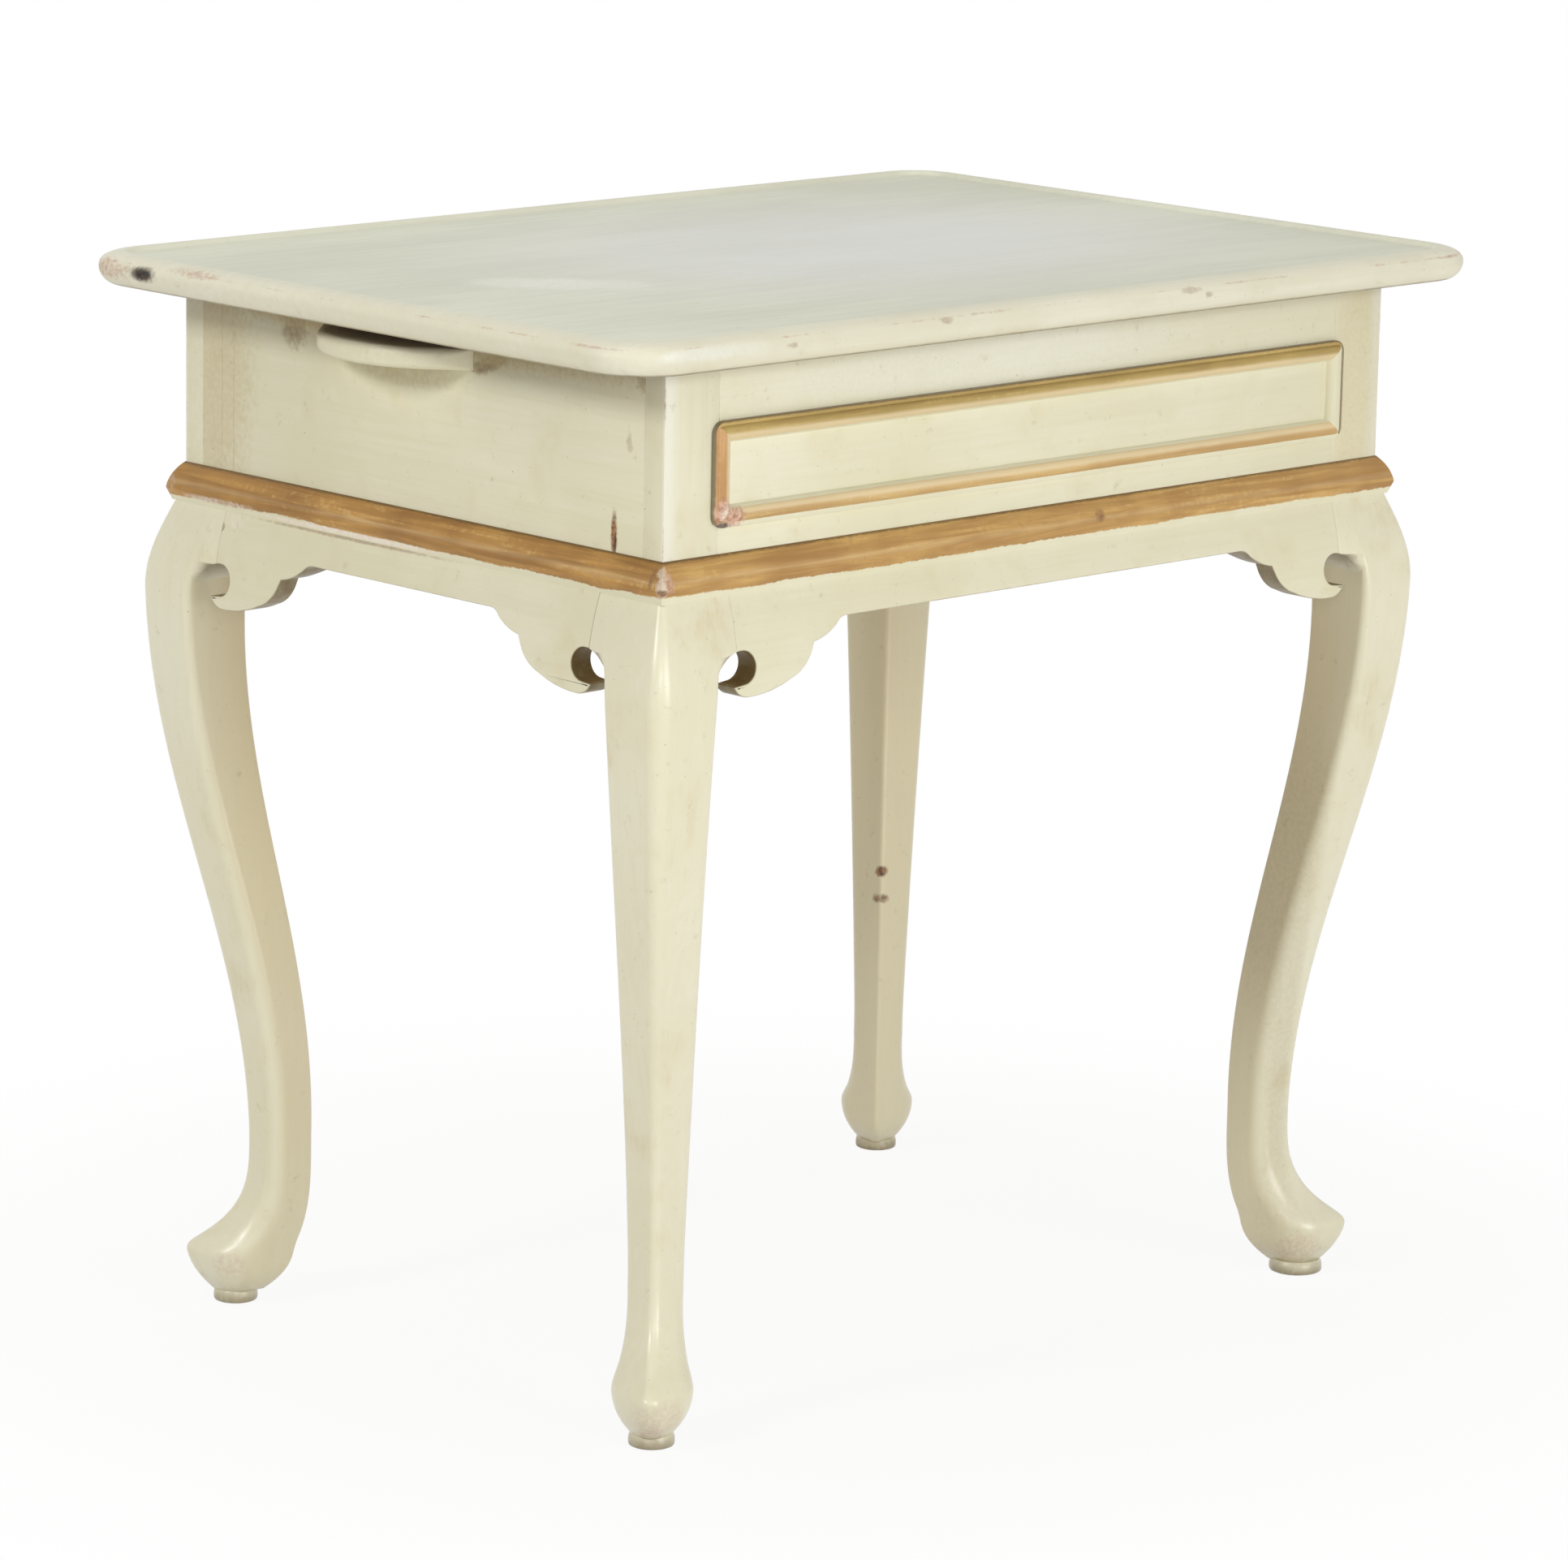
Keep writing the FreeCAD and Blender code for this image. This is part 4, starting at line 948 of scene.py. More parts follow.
@dataclass
class CabrioleLeg:
    """A cabriole leg with its post on top and a turned pad under its foot, for one corner.

    PAD lists the pad's profile from the floor up: reach beside a pad of 18.5, and level.
    """

    name: str
    x: int
    y: int
    pad: float = 15.0
    foot: Flat = (305.5, 210.0)
    sole: Station = Station(8.0, -0.5, 29.5, 0.36, 0.46)
    toe: Station = Station(38.5, -1.2, 56.5, 0.16, 0.43)
    ankle: Station = Station(115.0, -20.75, 32.3, 0.19, 0.36)
    knee: Station = Station(490.0, 20.75, 52.5, 0.24, 0.10)
    shoulder: Station = Station(552.0, 3.75, 52.5, 0.08, 0.03)
    post_low: float = 517.5
    stand_top: float = 560.0
    width: float = 56.0
    leaf: float = 12.0
    hollow: float = 22.0
    hollow_power: float = 1.7
    apron_low: float = 488.0
    apron_swell: float = 11.0
    foot_power: float = 2.3
    instep_power: float = 3.3
    shank_power: float = 1.15
    toe_bell: float = 3.2
    foot_slimming: float = 0.055
    PAD: ClassVar[tuple[Flat, ...]] = (
        (12.0, 0.0), (16.8, 0.0), (18.0, 0.5), (18.5, 1.8), (18.4, 5.0), (17.7, 7.4), (16.6, 9.0))
    PAD_REACH: ClassVar[float] = 18.5

    def placed(self, ring: np.ndarray) -> np.ndarray:
        """Points round the pad's middle, brought to this leg's corner of the table."""
        return (ring + np.array(self.foot)) * np.array([self.x, self.y])

    @staticmethod
    def stretch(low: Station, high: Station, share: np.ndarray, middle: np.ndarray,
                side: np.ndarray) -> np.ndarray:
        """Sections between two stations: each value goes from one to the other by its own easing.

        Args:
            low: lower station.
            high: upper station.
            share: shares of the height.
            middle: eased shares for the section's middle.
            side: eased shares for its side.
        Returns:
            Rows of height, middle, side, arris and flank.
        """
        eased = np.stack([share, middle, side, share, share], axis=1)
        return low.row() * (1 - eased) + high.row() * eased

    def sections(self) -> np.ndarray:
        """Sections from the pad to the shoulder.

        The foot swells as 1 - (1 - t)^p and thins to the ankle in the same way with a higher power, the shank
        swings out to the knee along half a cosine wave while its side grows as t^p, and the shoulder comes
        back as 1 - cos(pi t / 2). The toe is then rounded over: near it each section is the bell-weighted
        mean of its neighbours, toe_bell millimetres to the bell's width.

        Returns:
            Rows of height, middle, side, arris and flank.
        """
        foot, instep = np.linspace(0, 1, 20, endpoint=False), np.linspace(0, 1, 40, endpoint=False)
        shank, top = np.linspace(0, 1, 64, endpoint=False), np.linspace(0, 1, 18)
        swell, thin = 1 - (1 - foot) ** self.foot_power, 1 - (1 - instep) ** self.instep_power
        swing, back = (1 - np.cos(np.pi * shank)) / 2, 1 - np.cos(np.pi * top / 2)
        rows = np.concatenate([
            self.stretch(self.sole, self.toe, foot, swell, swell),
            self.stretch(self.toe, self.ankle, instep, thin, thin),
            self.stretch(self.ankle, self.knee, shank, swing, shank ** self.shank_power),
            self.stretch(self.knee, self.shoulder, top, back, back)])
        height = rows[:, 0]
        apart = (height[:, None] - height[None]) / self.toe_bell
        bell = np.exp(-apart ** 2 / 2) * np.gradient(height)[None]
        mean = bell @ rows[:, 1:3] / bell.sum(axis=1, keepdims=True)
        near = np.clip(1.6 - np.abs(height - self.toe.height) / 12, 0, 1)[:, None]
        rows[:, 1:3] = rows[:, 1:3] * (1 - near) + mean * near
        return rows

    def skin(self, rows: np.ndarray, per_corner: int = 10) -> tuple[np.ndarray, np.ndarray, np.ndarray]:
        """Rounded squares stacked up: quarter circles at the corners, of radius share x side.

        At the foot each point goes a little towards its mirror image in the toe's line, which slims the foot.

        Args:
            rows: height, middle, side, arris and flank of each section.
            per_corner: points on each rounding.
        Returns:
            The points in the table's frame, how near each is to the outer arris and how far it looks
            inwards (0 to 1), which the paint turns into painted shade.
        """
        height, middle, side, arris, flank = rows.T
        turn = np.radians(np.linspace(0, 90, per_corner))[None] + np.radians(90) * np.arange(4)[:, None]
        circle = np.stack([np.cos(turn), np.sin(turn)], axis=-1)[None]
        radius = side[:, None] * np.stack([arris, flank, 0.4 * arris, flank], axis=1)
        signs = np.array([(1, 1), (-1, 1), (-1, -1), (1, -1)], float)
        centre = (side[:, None] / 2 - radius)[..., None] * signs + middle[:, None, None]
        ring = centre[:, :, None] + radius[:, :, None, None] * circle
        ring = ring.reshape(len(rows), -1, 2)
        slim = self.foot_slimming * np.clip((95 - height) / 45, 0, 1)[:, None, None]
        ring = ring * (1 - slim) + ring[..., ::-1] * slim
        across = (ring - middle[:, None, None]).sum(axis=2) / side[:, None]
        up = np.clip((height - 80) / 350, 0, 1)[:, None]
        outer = np.clip((across - 0.45) * 4, 0, 1)
        # How far a face looks inwards, more so higher up: the paint darkens it as painted shade
        inner = np.clip(-4 * across, 0, 1) * (0.5 + 0.5 * up)
        return raised(self.placed(ring), height), outer, inner

    def post(self) -> Shell:
        """The square post, whose outer faces swell downwards so that apron, post and knee lie flush.

        Beside the apron the face stands out by the apron's own arc, and beside the knee as far as the knee,
        by swell x cos(pi t / 2). Below the post the wood runs into the flank of the leg in a flat hollow, as
        (1 - (1 - t)^p)^(1 / p) with the hollow's power p, that closes the curl of the bracket.

        Returns:
            The skin, with painted shade in the hollow.
        """
        top, bottom = self.shoulder, self.knee
        tall = np.concatenate([np.linspace(self.post_low - self.hollow, self.post_low, 12, endpoint=False),
                               np.linspace(self.post_low, top.height, 16), [self.stand_top]])
        face = top.middle + top.side / 2
        share = np.clip((tall - bottom.height) / (top.height - bottom.height), 0, 1)
        knee = face + (bottom.middle - top.middle) * np.cos(np.pi * share / 2) - 0.05
        apron = face + swelling(tall, self.apron_low, top.height, self.apron_swell)
        under = np.clip((self.post_low - tall) / self.hollow, 0, 1)
        flank = knee - top.side + 1.0 + 1.5 * under
        inner = face - self.width
        inner = inner + (flank - inner) * (1 - (1 - under) ** self.hollow_power) ** (1 / self.hollow_power)
        tucked = knee - 1.6 * under
        corners = ((inner + self.leaf, inner), (apron, inner),
                   (tucked, flank), (tucked, knee - self.leaf - 0.6))
        half = np.stack([np.stack(corner, axis=1) for corner in corners], axis=1)
        ring = np.concatenate([half, half[:, ::-1, ::-1]], axis=1)
        inwards = np.array([1, 1, 0, 0, 0, 0, 1, 1])
        # Painted shade in the hollow under the post, on its inward faces
        soil = (0.9 * (1 - under) * (under > 0))[:, None] * inwards[None]
        return Shell(raised(self.placed(ring), tall), {"soil": soil})

    def turned_pad(self) -> Shell:
        """The pad: a short round-edged drum, worn all over and darkest at the floor.

        Returns:
            The closed skin.
        """
        reach, level = np.array(self.PAD).T
        angle = np.linspace(0, 2 * np.pi, 48, endpoint=False)
        circle = np.stack([np.cos(angle), np.sin(angle)], axis=1)
        ring = circle[None] * (reach * self.pad / self.PAD_REACH)[:, None, None]
        shape = ring.shape[:2]
        soil = np.broadcast_to(0.76 - 0.05 * level[:, None], shape)
        return Shell(raised(self.placed(ring), level), {"edge": np.full(shape, 0.92), "soil": soil})

    def shells(self) -> list[Shell]:
        """The leg, most worn along its outer arris and at the foot, the post above it and the pad.

        Returns:
            The three skins.
        """
        rows = self.sections()
        points, outer, inner = self.skin(rows)
        height = rows[:, :1]
        low = np.clip((60 - height) / 60, 0, 1)
        worn = 0.30 * outer + 0.62 * low * outer + 0.45 * np.clip((30 - height) / 30, 0, 1)
        soil = np.broadcast_to(0.34 * np.clip((30 - height) / 22, 0, 1), worn.shape)
        leg = Shell(points, {"edge": worn, "soil": soil, "inner": inner})
        return [leg, self.post(), self.turned_pad()]

    def build(self, paint: bpy.types.Material) -> None:
        """Make the leg in the place of its node."""
        show(join(f"{self.name}_carved", self.shells()), paint, "table", self.name, crease=50)


@dataclass
class Apron:
    """A swelling apron with scroll brackets: an outline with rounded arrises and a face that bellies out.

    crack is the end, -1 or 1, at which the joint with the post stands open. While the board is cut it is
    BOARD deep, with a flat face at depth 0, and CUT is the height of one slice of its face.
    """

    name: str
    half: float
    inner: float
    face: float
    side: Point
    crack: int = 0
    top: float = 560.0
    shoulder: float = 552.0
    edge: float = 529.0
    curl_top: float = 517.5
    curl: float = 10.5
    low: float = 488.0
    swell: float = 11.0
    thickness: float = 18.0
    arris: float = 0.9
    back_arris: float = 0.7
    joint: float = 0.15
    BOARD: ClassVar[float] = 40.0
    CUT: ClassVar[float] = 2.5

    def outline(self) -> np.ndarray:
        """Half the lower edge from the middle to a post, and its mirror image, anticlockwise.

        Hollow, round, cusp, two arcs of the lobe, its tip, and the three-quarter round of the curl. Each row
        gives a part's end beside the post, its height, its radius (0 for a straight run) and its points.

        Returns:
            Points x 2: the way along the apron and the height.
        """
        start, parts = (0.0, self.edge), []
        for beside, height, radius, steps in (
                (-98, self.edge, 0, 24), (-87.667, 524.667, -12, 6), (-67, 516, 45, 8), (-65.25, 512.5, 0, 2),
                (-46, 495.5, 30, 9), (-10, self.low, 90, 9), (3.5, 495.5, 14, 8),
                (-5, self.curl_top - 2 * self.curl, 0, 3),
                (-5 - self.curl, self.curl_top - self.curl, -self.curl, 9),
                (-5, self.curl_top, -self.curl, 9),
                (-self.joint, self.curl_top, 0, 2), (-self.joint, self.top, 0, 8),
                (-self.half, self.top, 0, 24)):
            end = (self.half + beside, height)
            parts.append(arc(start, end, radius, steps) if radius else run(start, end, steps))
            start = end
        right = np.concatenate(parts)
        left = right[1:][::-1] * np.array([-1, 1])
        return np.concatenate([right, left])

    def belly(self, height: np.ndarray) -> np.ndarray:
        """How far the face stands from the middle plane."""
        return self.face + swelling(height, self.low, self.shoulder, self.swell)

    def back(self, height: np.ndarray) -> np.ndarray:
        """Where the back lies: the brackets are thinned behind, with a slope up to the full board."""
        thinned = self.face + self.swell - self.thickness
        return np.interp(height, (self.curl_top, self.edge), (thinned, self.inner))

    def board(self) -> Shell:
        """The outline stacked from back to face, with its arrises rounded; a shut joint keeps its width.

        Returns:
            The closed skin, with the way along, the depth and the height of each point.
        """
        outline = self.outline()
        normal = outward_normals(outline)
        turn = np.radians(np.linspace(0, 90, 5))
        inset = np.concatenate([
            [3.0, self.back_arris, 0.0], self.arris * (1 - np.cos(turn)), [2 * self.arris]])
        depth = np.concatenate([
            [-self.BOARD, -self.BOARD, self.back_arris - self.BOARD], self.arris * (np.sin(turn) - 1), [0.0]])
        along, tall = outline.T
        joint = (np.abs(along) > self.half - 0.2) & (tall > self.curl_top - 0.1)
        shut = joint & (np.sign(along) != self.crack)
        moved = np.minimum(inset, 2 * self.arris)[:, None] * np.where(shut, 0.1, 1.0)[None]
        plan = outline[None] - normal[None] * moved[..., None]
        points = np.insert(plan, 1, depth[:, None], axis=2)
        edge = np.concatenate([[0, 0, 0], 0.2 + 0.75 * np.sin(2 * turn), [0.0]])
        lower = (tall < self.shoulder - 10) & ~joint
        curl = np.hypot(np.abs(along) - self.half + 5, tall - self.curl_top + self.curl) < self.curl + 1
        # Painted shade and grime on the cut edges, strongest in the curls and at the open joint
        soil = np.concatenate([[0, 0.8, 1.0], np.linspace(1.0, 0.1, 5), [0.0]])
        soil = soil[:, None] * np.where(shut, 0.0, np.where(curl | joint, 1.0, 0.8))[None]
        return Shell(points, {"edge": edge[:, None] * lower[None], "soil": soil})

    def mesh(self) -> bpy.types.Mesh:
        """Cut the board's face level by level, then belly the face and thin the back.

        Returns:
            The mesh in its place.
        """
        mesh = join(f"{self.name}_carved", [self.board()])
        skin = bmesh.new()
        skin.from_mesh(mesh)
        for level in np.arange(self.low + 2.0, self.shoulder + 1, self.CUT):
            bmesh.ops.bisect_plane(skin, geom=skin.verts[:] + skin.edges[:] + skin.faces[:], dist=1e-7,
                                   plane_co=(0, 0, level * MM), plane_no=(0, 0, 1))
        skin.to_mesh(mesh)
        skin.free()
        flat = np.empty(len(mesh.vertices) * 3, np.float32)
        mesh.vertices.foreach_get("co", flat)
        along, out, tall = flat.reshape(-1, 3).T / MM
        front = out > -self.BOARD / 2
        out = np.where(front, self.belly(tall) + out, self.back(tall) + self.BOARD + out)
        x, y, _ = self.side
        placed = np.stack([along * abs(y) + out * x, along * abs(x) + out * y, tall], axis=1)
        mesh.vertices.foreach_set("co", (placed * MM).astype(np.float32).ravel())
        outward(mesh)
        return mesh

    def build(self, paint: bpy.types.Material) -> None:
        """Make the apron in the place of its node."""
        show(self.mesh(), paint, "table", self.name)


@dataclass
class Strip:
    """A mitred length of moulding: a profile carried from mitre to mitre.

    middle is the middle of the line from which the profile is measured, half its half length, along its way,
    out the direction of the profile's first number and rise that of its second. Each end grows by the first
    number times growth, which makes the mitre. A frame's outer corners are rounded by corner: near an end
    the outer edge moves in by corner - sqrt(corner^2 - (corner - left)^2), where left is the length up to
    the corner. Wear at a mitre, and the outer edge that a corner moves, fade out over FADE.
    """

    node: str
    middle: Point
    half: float
    along: Point
    out: Point
    rise: Point
    growth: float
    corner: float = 0.0
    steps: int = 60
    FADE: ClassVar[float] = 9.0
    HALVINGS: ClassVar[int] = 24

    def rounding(self, left: np.ndarray) -> np.ndarray:
        """How far the outer edge moves in where so much length is left up to the frame's square corner."""
        short = np.clip(self.corner - left, 0, self.corner)
        return self.corner - np.sqrt(self.corner ** 2 - short ** 2)

    def shell(self, profile: np.ndarray, traits: Mapping[str, np.ndarray]) -> Shell:
        """Carry the profile along: point = middle + along x way + out x first + rise x second.

        A mitre's end lies where the length that is left equals the way in, found by halving the difference.

        Args:
            profile: points x 2, closed.
            traits: a value for each profile point.
        Returns:
            The closed skin.
        """
        ends = 1 - np.linspace(0, 1, 9) * 2 * self.corner / self.half
        share = np.unique(np.concatenate([np.linspace(-1, 1, self.steps), ends, -ends]))[:, None]
        first, second = profile.T
        outer = np.clip(1 - first / self.FADE, 0, 1)
        end = first
        for _ in range(self.HALVINGS):
            end = (end + first + outer * self.rounding(end)) / 2
        way = share * (self.half + self.growth * end)[None]
        left = self.half - np.abs(way)
        shifted = first[None] + outer[None] * self.rounding(left)
        points = (np.array(self.middle) + way[..., None] * np.array(self.along)
                  + shifted[..., None] * np.array(self.out) + second[None, :, None] * np.array(self.rise))
        given = {name: np.broadcast_to(values[None], way.shape) for name, values in traits.items()}
        given["edge"] = 0.85 * np.clip(1 - left / self.FADE, 0, 1)
        return Shell(points, given)

    def build(self, profile: np.ndarray, traits: Mapping[str, np.ndarray], gilding: bpy.types.Material,
              body: str) -> None:
        """Make the length in the place of its node.

        Args:
            profile: points x 2, closed.
            traits: a value for each profile point.
            gilding: the material.
            body: the body that it moves with.
        """
        mesh = join(f"{self.node}_gilt", [self.shell(profile, traits)])
        show(mesh, gilding, body, self.node)


@dataclass
class WaistMouldings:
    """The four gilt mouldings over the joint of case and stand."""

    half_length: float = 329.5
    half_width: float = 234.0
    level: float = 560.0
    rise: float = 17.5
    reach: float = 9.5
    drop: float = 8.0
    step: float = 6.0

    def profile(self) -> tuple[np.ndarray, dict[str, np.ndarray]]:
        """The round slope, a small nose, the return below it and the back, with the gilt on the slope, a
        painted shadow line along the top of the slope and a painted highlight along its middle.

        Returns:
            The profile, out and up, and its traits.
        """
        shoulder, nose = (0.7, self.rise - 0.3), (self.reach - 0.2, -0.6)
        points = np.concatenate([
            arc((self.reach, 0.6), shoulder, 30, 12),
            [shoulder, (0.3, self.rise), (0.0, self.rise), (0.0, 0.0), (self.step, 0.0),
             (self.step, -self.drop), (self.step + 0.5, -self.drop)],
            run((self.step + 0.6, -self.drop + 0.4), nose, 6), [nose, (self.reach - 0.02, 0.0)]])
        out, up = points.T
        gilt = np.clip((up + 7.5) / 8.0, 0.0, 1.0)
        # Painted shadow line where the slope meets the case
        line = np.clip((up - self.rise + 3.4) / 3.0, 0, 1)
        # Painted highlight along the middle of the slope
        rubbed = 0.5 * np.clip(1 - np.abs(up - 5.0) / 7.0, 0, 1) * (out > 1)
        return points, {"gilt": gilt, "line": line, "rubbed": rubbed}

    def build(self) -> None:
        """Make and gild the four lengths."""
        mitre = (
            Mark((-335, -232, 567), (8, 2.2, 11), Layer.WOOD, 0.5, 0.55),
            Mark((-334, -239, 572), (4.5, 4.5, 10), Layer.CHALK, 0.9, 0.5),
            Mark((-337, -242, 563), (5, 5, 7), Layer.CHALK, 0.8, 0.6),
            Mark((-331, -241, 565), (4, 7, 9), Layer.BOLE, 0.9, 0.65),
            Mark((-338, -243, 560), (5, 5, 2.5), Layer.WOOD, 0.3, 0.9))
        long = Gilding("waist_gilding_long", marks=mitre + (
            Mark((51, -241, 567), (5, 5, 5), Layer.WOOD, 0.3, 0.7),)).material()
        deep = Gilding(
            "waist_gilding_deep", lay=Lay.DEEP, gold=(196, 150, 80), deep=(154, 112, 58), marks=mitre + (
                Mark((-338, 55, 554.4), (6, 105, 2.3), Layer.CHALK, 0.3, 1.0),
                Mark((-338, 190, 557), (6, 40, 2.5), Layer.PRIMER, 0.6, 0.8))).material()
        for side, (x, y), far, half, gilding in (
                ("front", (0, -1), self.half_width, self.half_length, long),
                ("back", (0, 1), self.half_width, self.half_length, long),
                ("left", (-1, 0), self.half_length, self.half_width, deep),
                ("right", (1, 0), self.half_length, self.half_width, deep)):
            strip = Strip(f"waist_moulding_{side}", (x * far, y * far, self.level), half,
                          along=(abs(y), abs(x), 0), out=(x, y, 0), rise=(0, 0, 1), growth=1.0)
            strip.build(*self.profile(), gilding, "table")


@dataclass
class Drawer:
    """The drawer: a painted front framed by four gilt beads, and a bare wooden box behind it."""

    half_length: float = 290.0
    low: float = 594.0
    high: float = 661.0
    face: float = -234.3
    front_back: float = 221.0
    arris: float = 0.4
    width: float = 14.0
    fillet: float = 2.5
    edge: float = 3.2
    round: float = 6.4
    corner: float = 8.0

    def profile(self, border: float, dark: float) -> tuple[np.ndarray, dict[str, np.ndarray]]:
        """The flat fillet outside and the half round inside it.

        Args:
            border: how far in from the outer edge the gilt starts.
            dark: how far in the painted shadow line along the outer edge goes.
        Returns:
            The profile and its traits.
        """
        quirk = (self.fillet + 0.4, self.edge - 0.1)
        points = np.concatenate([
            arc((self.width, 0.0), quirk, self.round, 16),
            [quirk, (self.fillet - 0.2, self.edge), (0.5, self.edge), (0.12, self.edge - 0.2),
             (0.0, self.edge - 0.7), (0.0, 0.0)]])
        inward = points[:, 0]
        gilt = np.clip((inward - border) / 1.5 + 0.5, 0, 1) * np.clip((self.width - 1.0 - inward) / 1.5, 0, 1)
        # Painted shadow line along the bead's outer edge
        line = 1.0 * (inward <= dark)
        # Painted highlight on the inner half of the round
        rubbed = np.clip((inward - 5.5) / 4.0, 0, 1)
        return points, {"gilt": gilt, "line": line, "rubbed": rubbed}

    def beads(self) -> None:
        """Make and gild the four beads; the right one has lost its gilt and shows a wider painted shadow
        line.
        """
        lower = Gilding(
            "bead_gilding_lower", gold=(218, 186, 126), light=(234, 210, 162), deep=(194, 158, 104), marks=(
                Mark((-276, -239, 600), (12, 8, 8), Layer.BOLE, 0.6, 0.85),
                Mark((-284, -238, 595.5), (8, 6, 2.5), Layer.HOLE, 0.4, 0.85))).material()
        upper = Gilding(
            "bead_gilding_upper", gold=(200, 174, 106), light=(222, 198, 142), deep=(172, 146, 86)).material()
        upright = Gilding(
            "bead_gilding_upright", lay=Lay.TALL, gold=(212, 168, 118), light=(236, 204, 164), marks=(
                Mark((-280, -239, 603), (12, 8, 11), Layer.BOLE, 0.5, 0.9),
                Mark((-281, -239, 600), (4, 6, 9), Layer.CHALK, 0.7, 0.8))).material()
        middle, tall = (self.low + self.high) / 2, (self.high - self.low) / 2
        long, flat, up = self.half_length, (1, 0, 0), (0, 0, 1)
        for side, (x, z), half, along, out, border, dark, gilding in (
                ("bottom", (0, self.low), long, flat, (0, 0, 1), 3.2, -1.0, lower),
                ("top", (0, self.high), long, flat, (0, 0, -1), 0.2, 0.6, upper),
                ("left", (-long, middle), tall, up, (1, 0, 0), 0.4, 0.6, upright),
                ("right", (long, middle), tall, up, (-1, 0, 0), 20.0, 2.4, upright)):
            strip = Strip(f"drawer_bead_{side}", (x, self.face, z), half, along, out,
                          rise=(0, -1, 0), growth=-1.0, corner=self.corner)
            strip.build(*self.profile(border, dark), gilding, "drawer")

    def build(self) -> None:
        """Make the beads and paint the front; the box keeps its solids and gets bare wood."""
        self.beads()
        front = CreamPaint("drawer_paint", inside=(400.0, self.front_back), roughness=0.42).material()
        softened("drawer_front", self.arris, front, "drawer")
        dress(BareWood("drawer_wood_deep", lay=Lay.DEEP), "drawer_side_left", "drawer_side_right")
        dress(BareWood("drawer_wood_long"), "drawer_back", "drawer_bottom")


@dataclass
class CandleSlide:
    """A sliding board under the top that ends outside in a half-moon lip with rounded edges."""

    name: str
    body: str
    way: int
    root: float = 12.3
    straight: float = 329.5
    tip: float = 371.5
    half_width: float = 73.0
    setback: float = 18.0
    low: float = 674.0
    high: float = 688.0
    round: float = 5.0
    arris: float = 0.4
    easing: float = 14.0
    lip_power: float = 0.7
    cap: float = 1.5

    def shell(self) -> Shell:
        """Stack the outline from underside to upper side; its edge is rounded as far as it stands out.

        At the angle a the outline moves in by w (1 - cos a) and up by w sin a, and w grows from the arris of
        the straight board to the full rounding of the lip, as t^p over the easing. A cap inside the first and
        the last ring keeps the flat faces flat.

        Returns:
            The closed skin, worn along the lip's edge.
        """
        stands_out = self.tip - self.straight
        radius = (self.half_width ** 2 + stands_out ** 2) / (2 * stands_out)
        y = self.half_width
        outline = np.concatenate([
            run((self.root, -y), (self.straight, -y), 24),
            arc((self.straight, -y), (self.straight, y), radius, 48),
            run((self.straight, y), (self.root, y), 24), run((self.root, y), (self.root, -y), 10)])
        normal = outward_normals(outline)
        beyond = outline[:, 0] - self.straight
        share = np.clip(beyond / self.easing, 0, 1) ** self.lip_power
        width = self.arris + (self.round - self.arris) * share
        turn = np.radians(np.linspace(-90, 90, 15))[:, None]
        lift = np.where(turn < 0, self.low + width, self.high - width) + width * np.sin(turn)
        inset = width * (1 - np.cos(turn))
        inset = np.concatenate([inset[:1] + self.cap, inset, inset[-1:] + self.cap])
        lift = np.concatenate([lift[:1], lift, lift[-1:]])
        plan = outline[None] - normal[None] * inset[..., None]
        edge = np.concatenate([[[0.0]], 0.75 * np.abs(np.cos(turn)), [[0.0]]]) * (beyond > 0)
        points = np.stack([plan[..., 0] * self.way, plan[..., 1] + self.setback, lift], axis=2)
        return Shell(points, {"edge": edge})

    def build(self, paint: bpy.types.Material) -> None:
        """Make the slide in the place of its node."""
        mesh = join(f"{self.name}_shaped", [self.shell()])
        show(mesh, paint, self.body, self.name, crease=50)


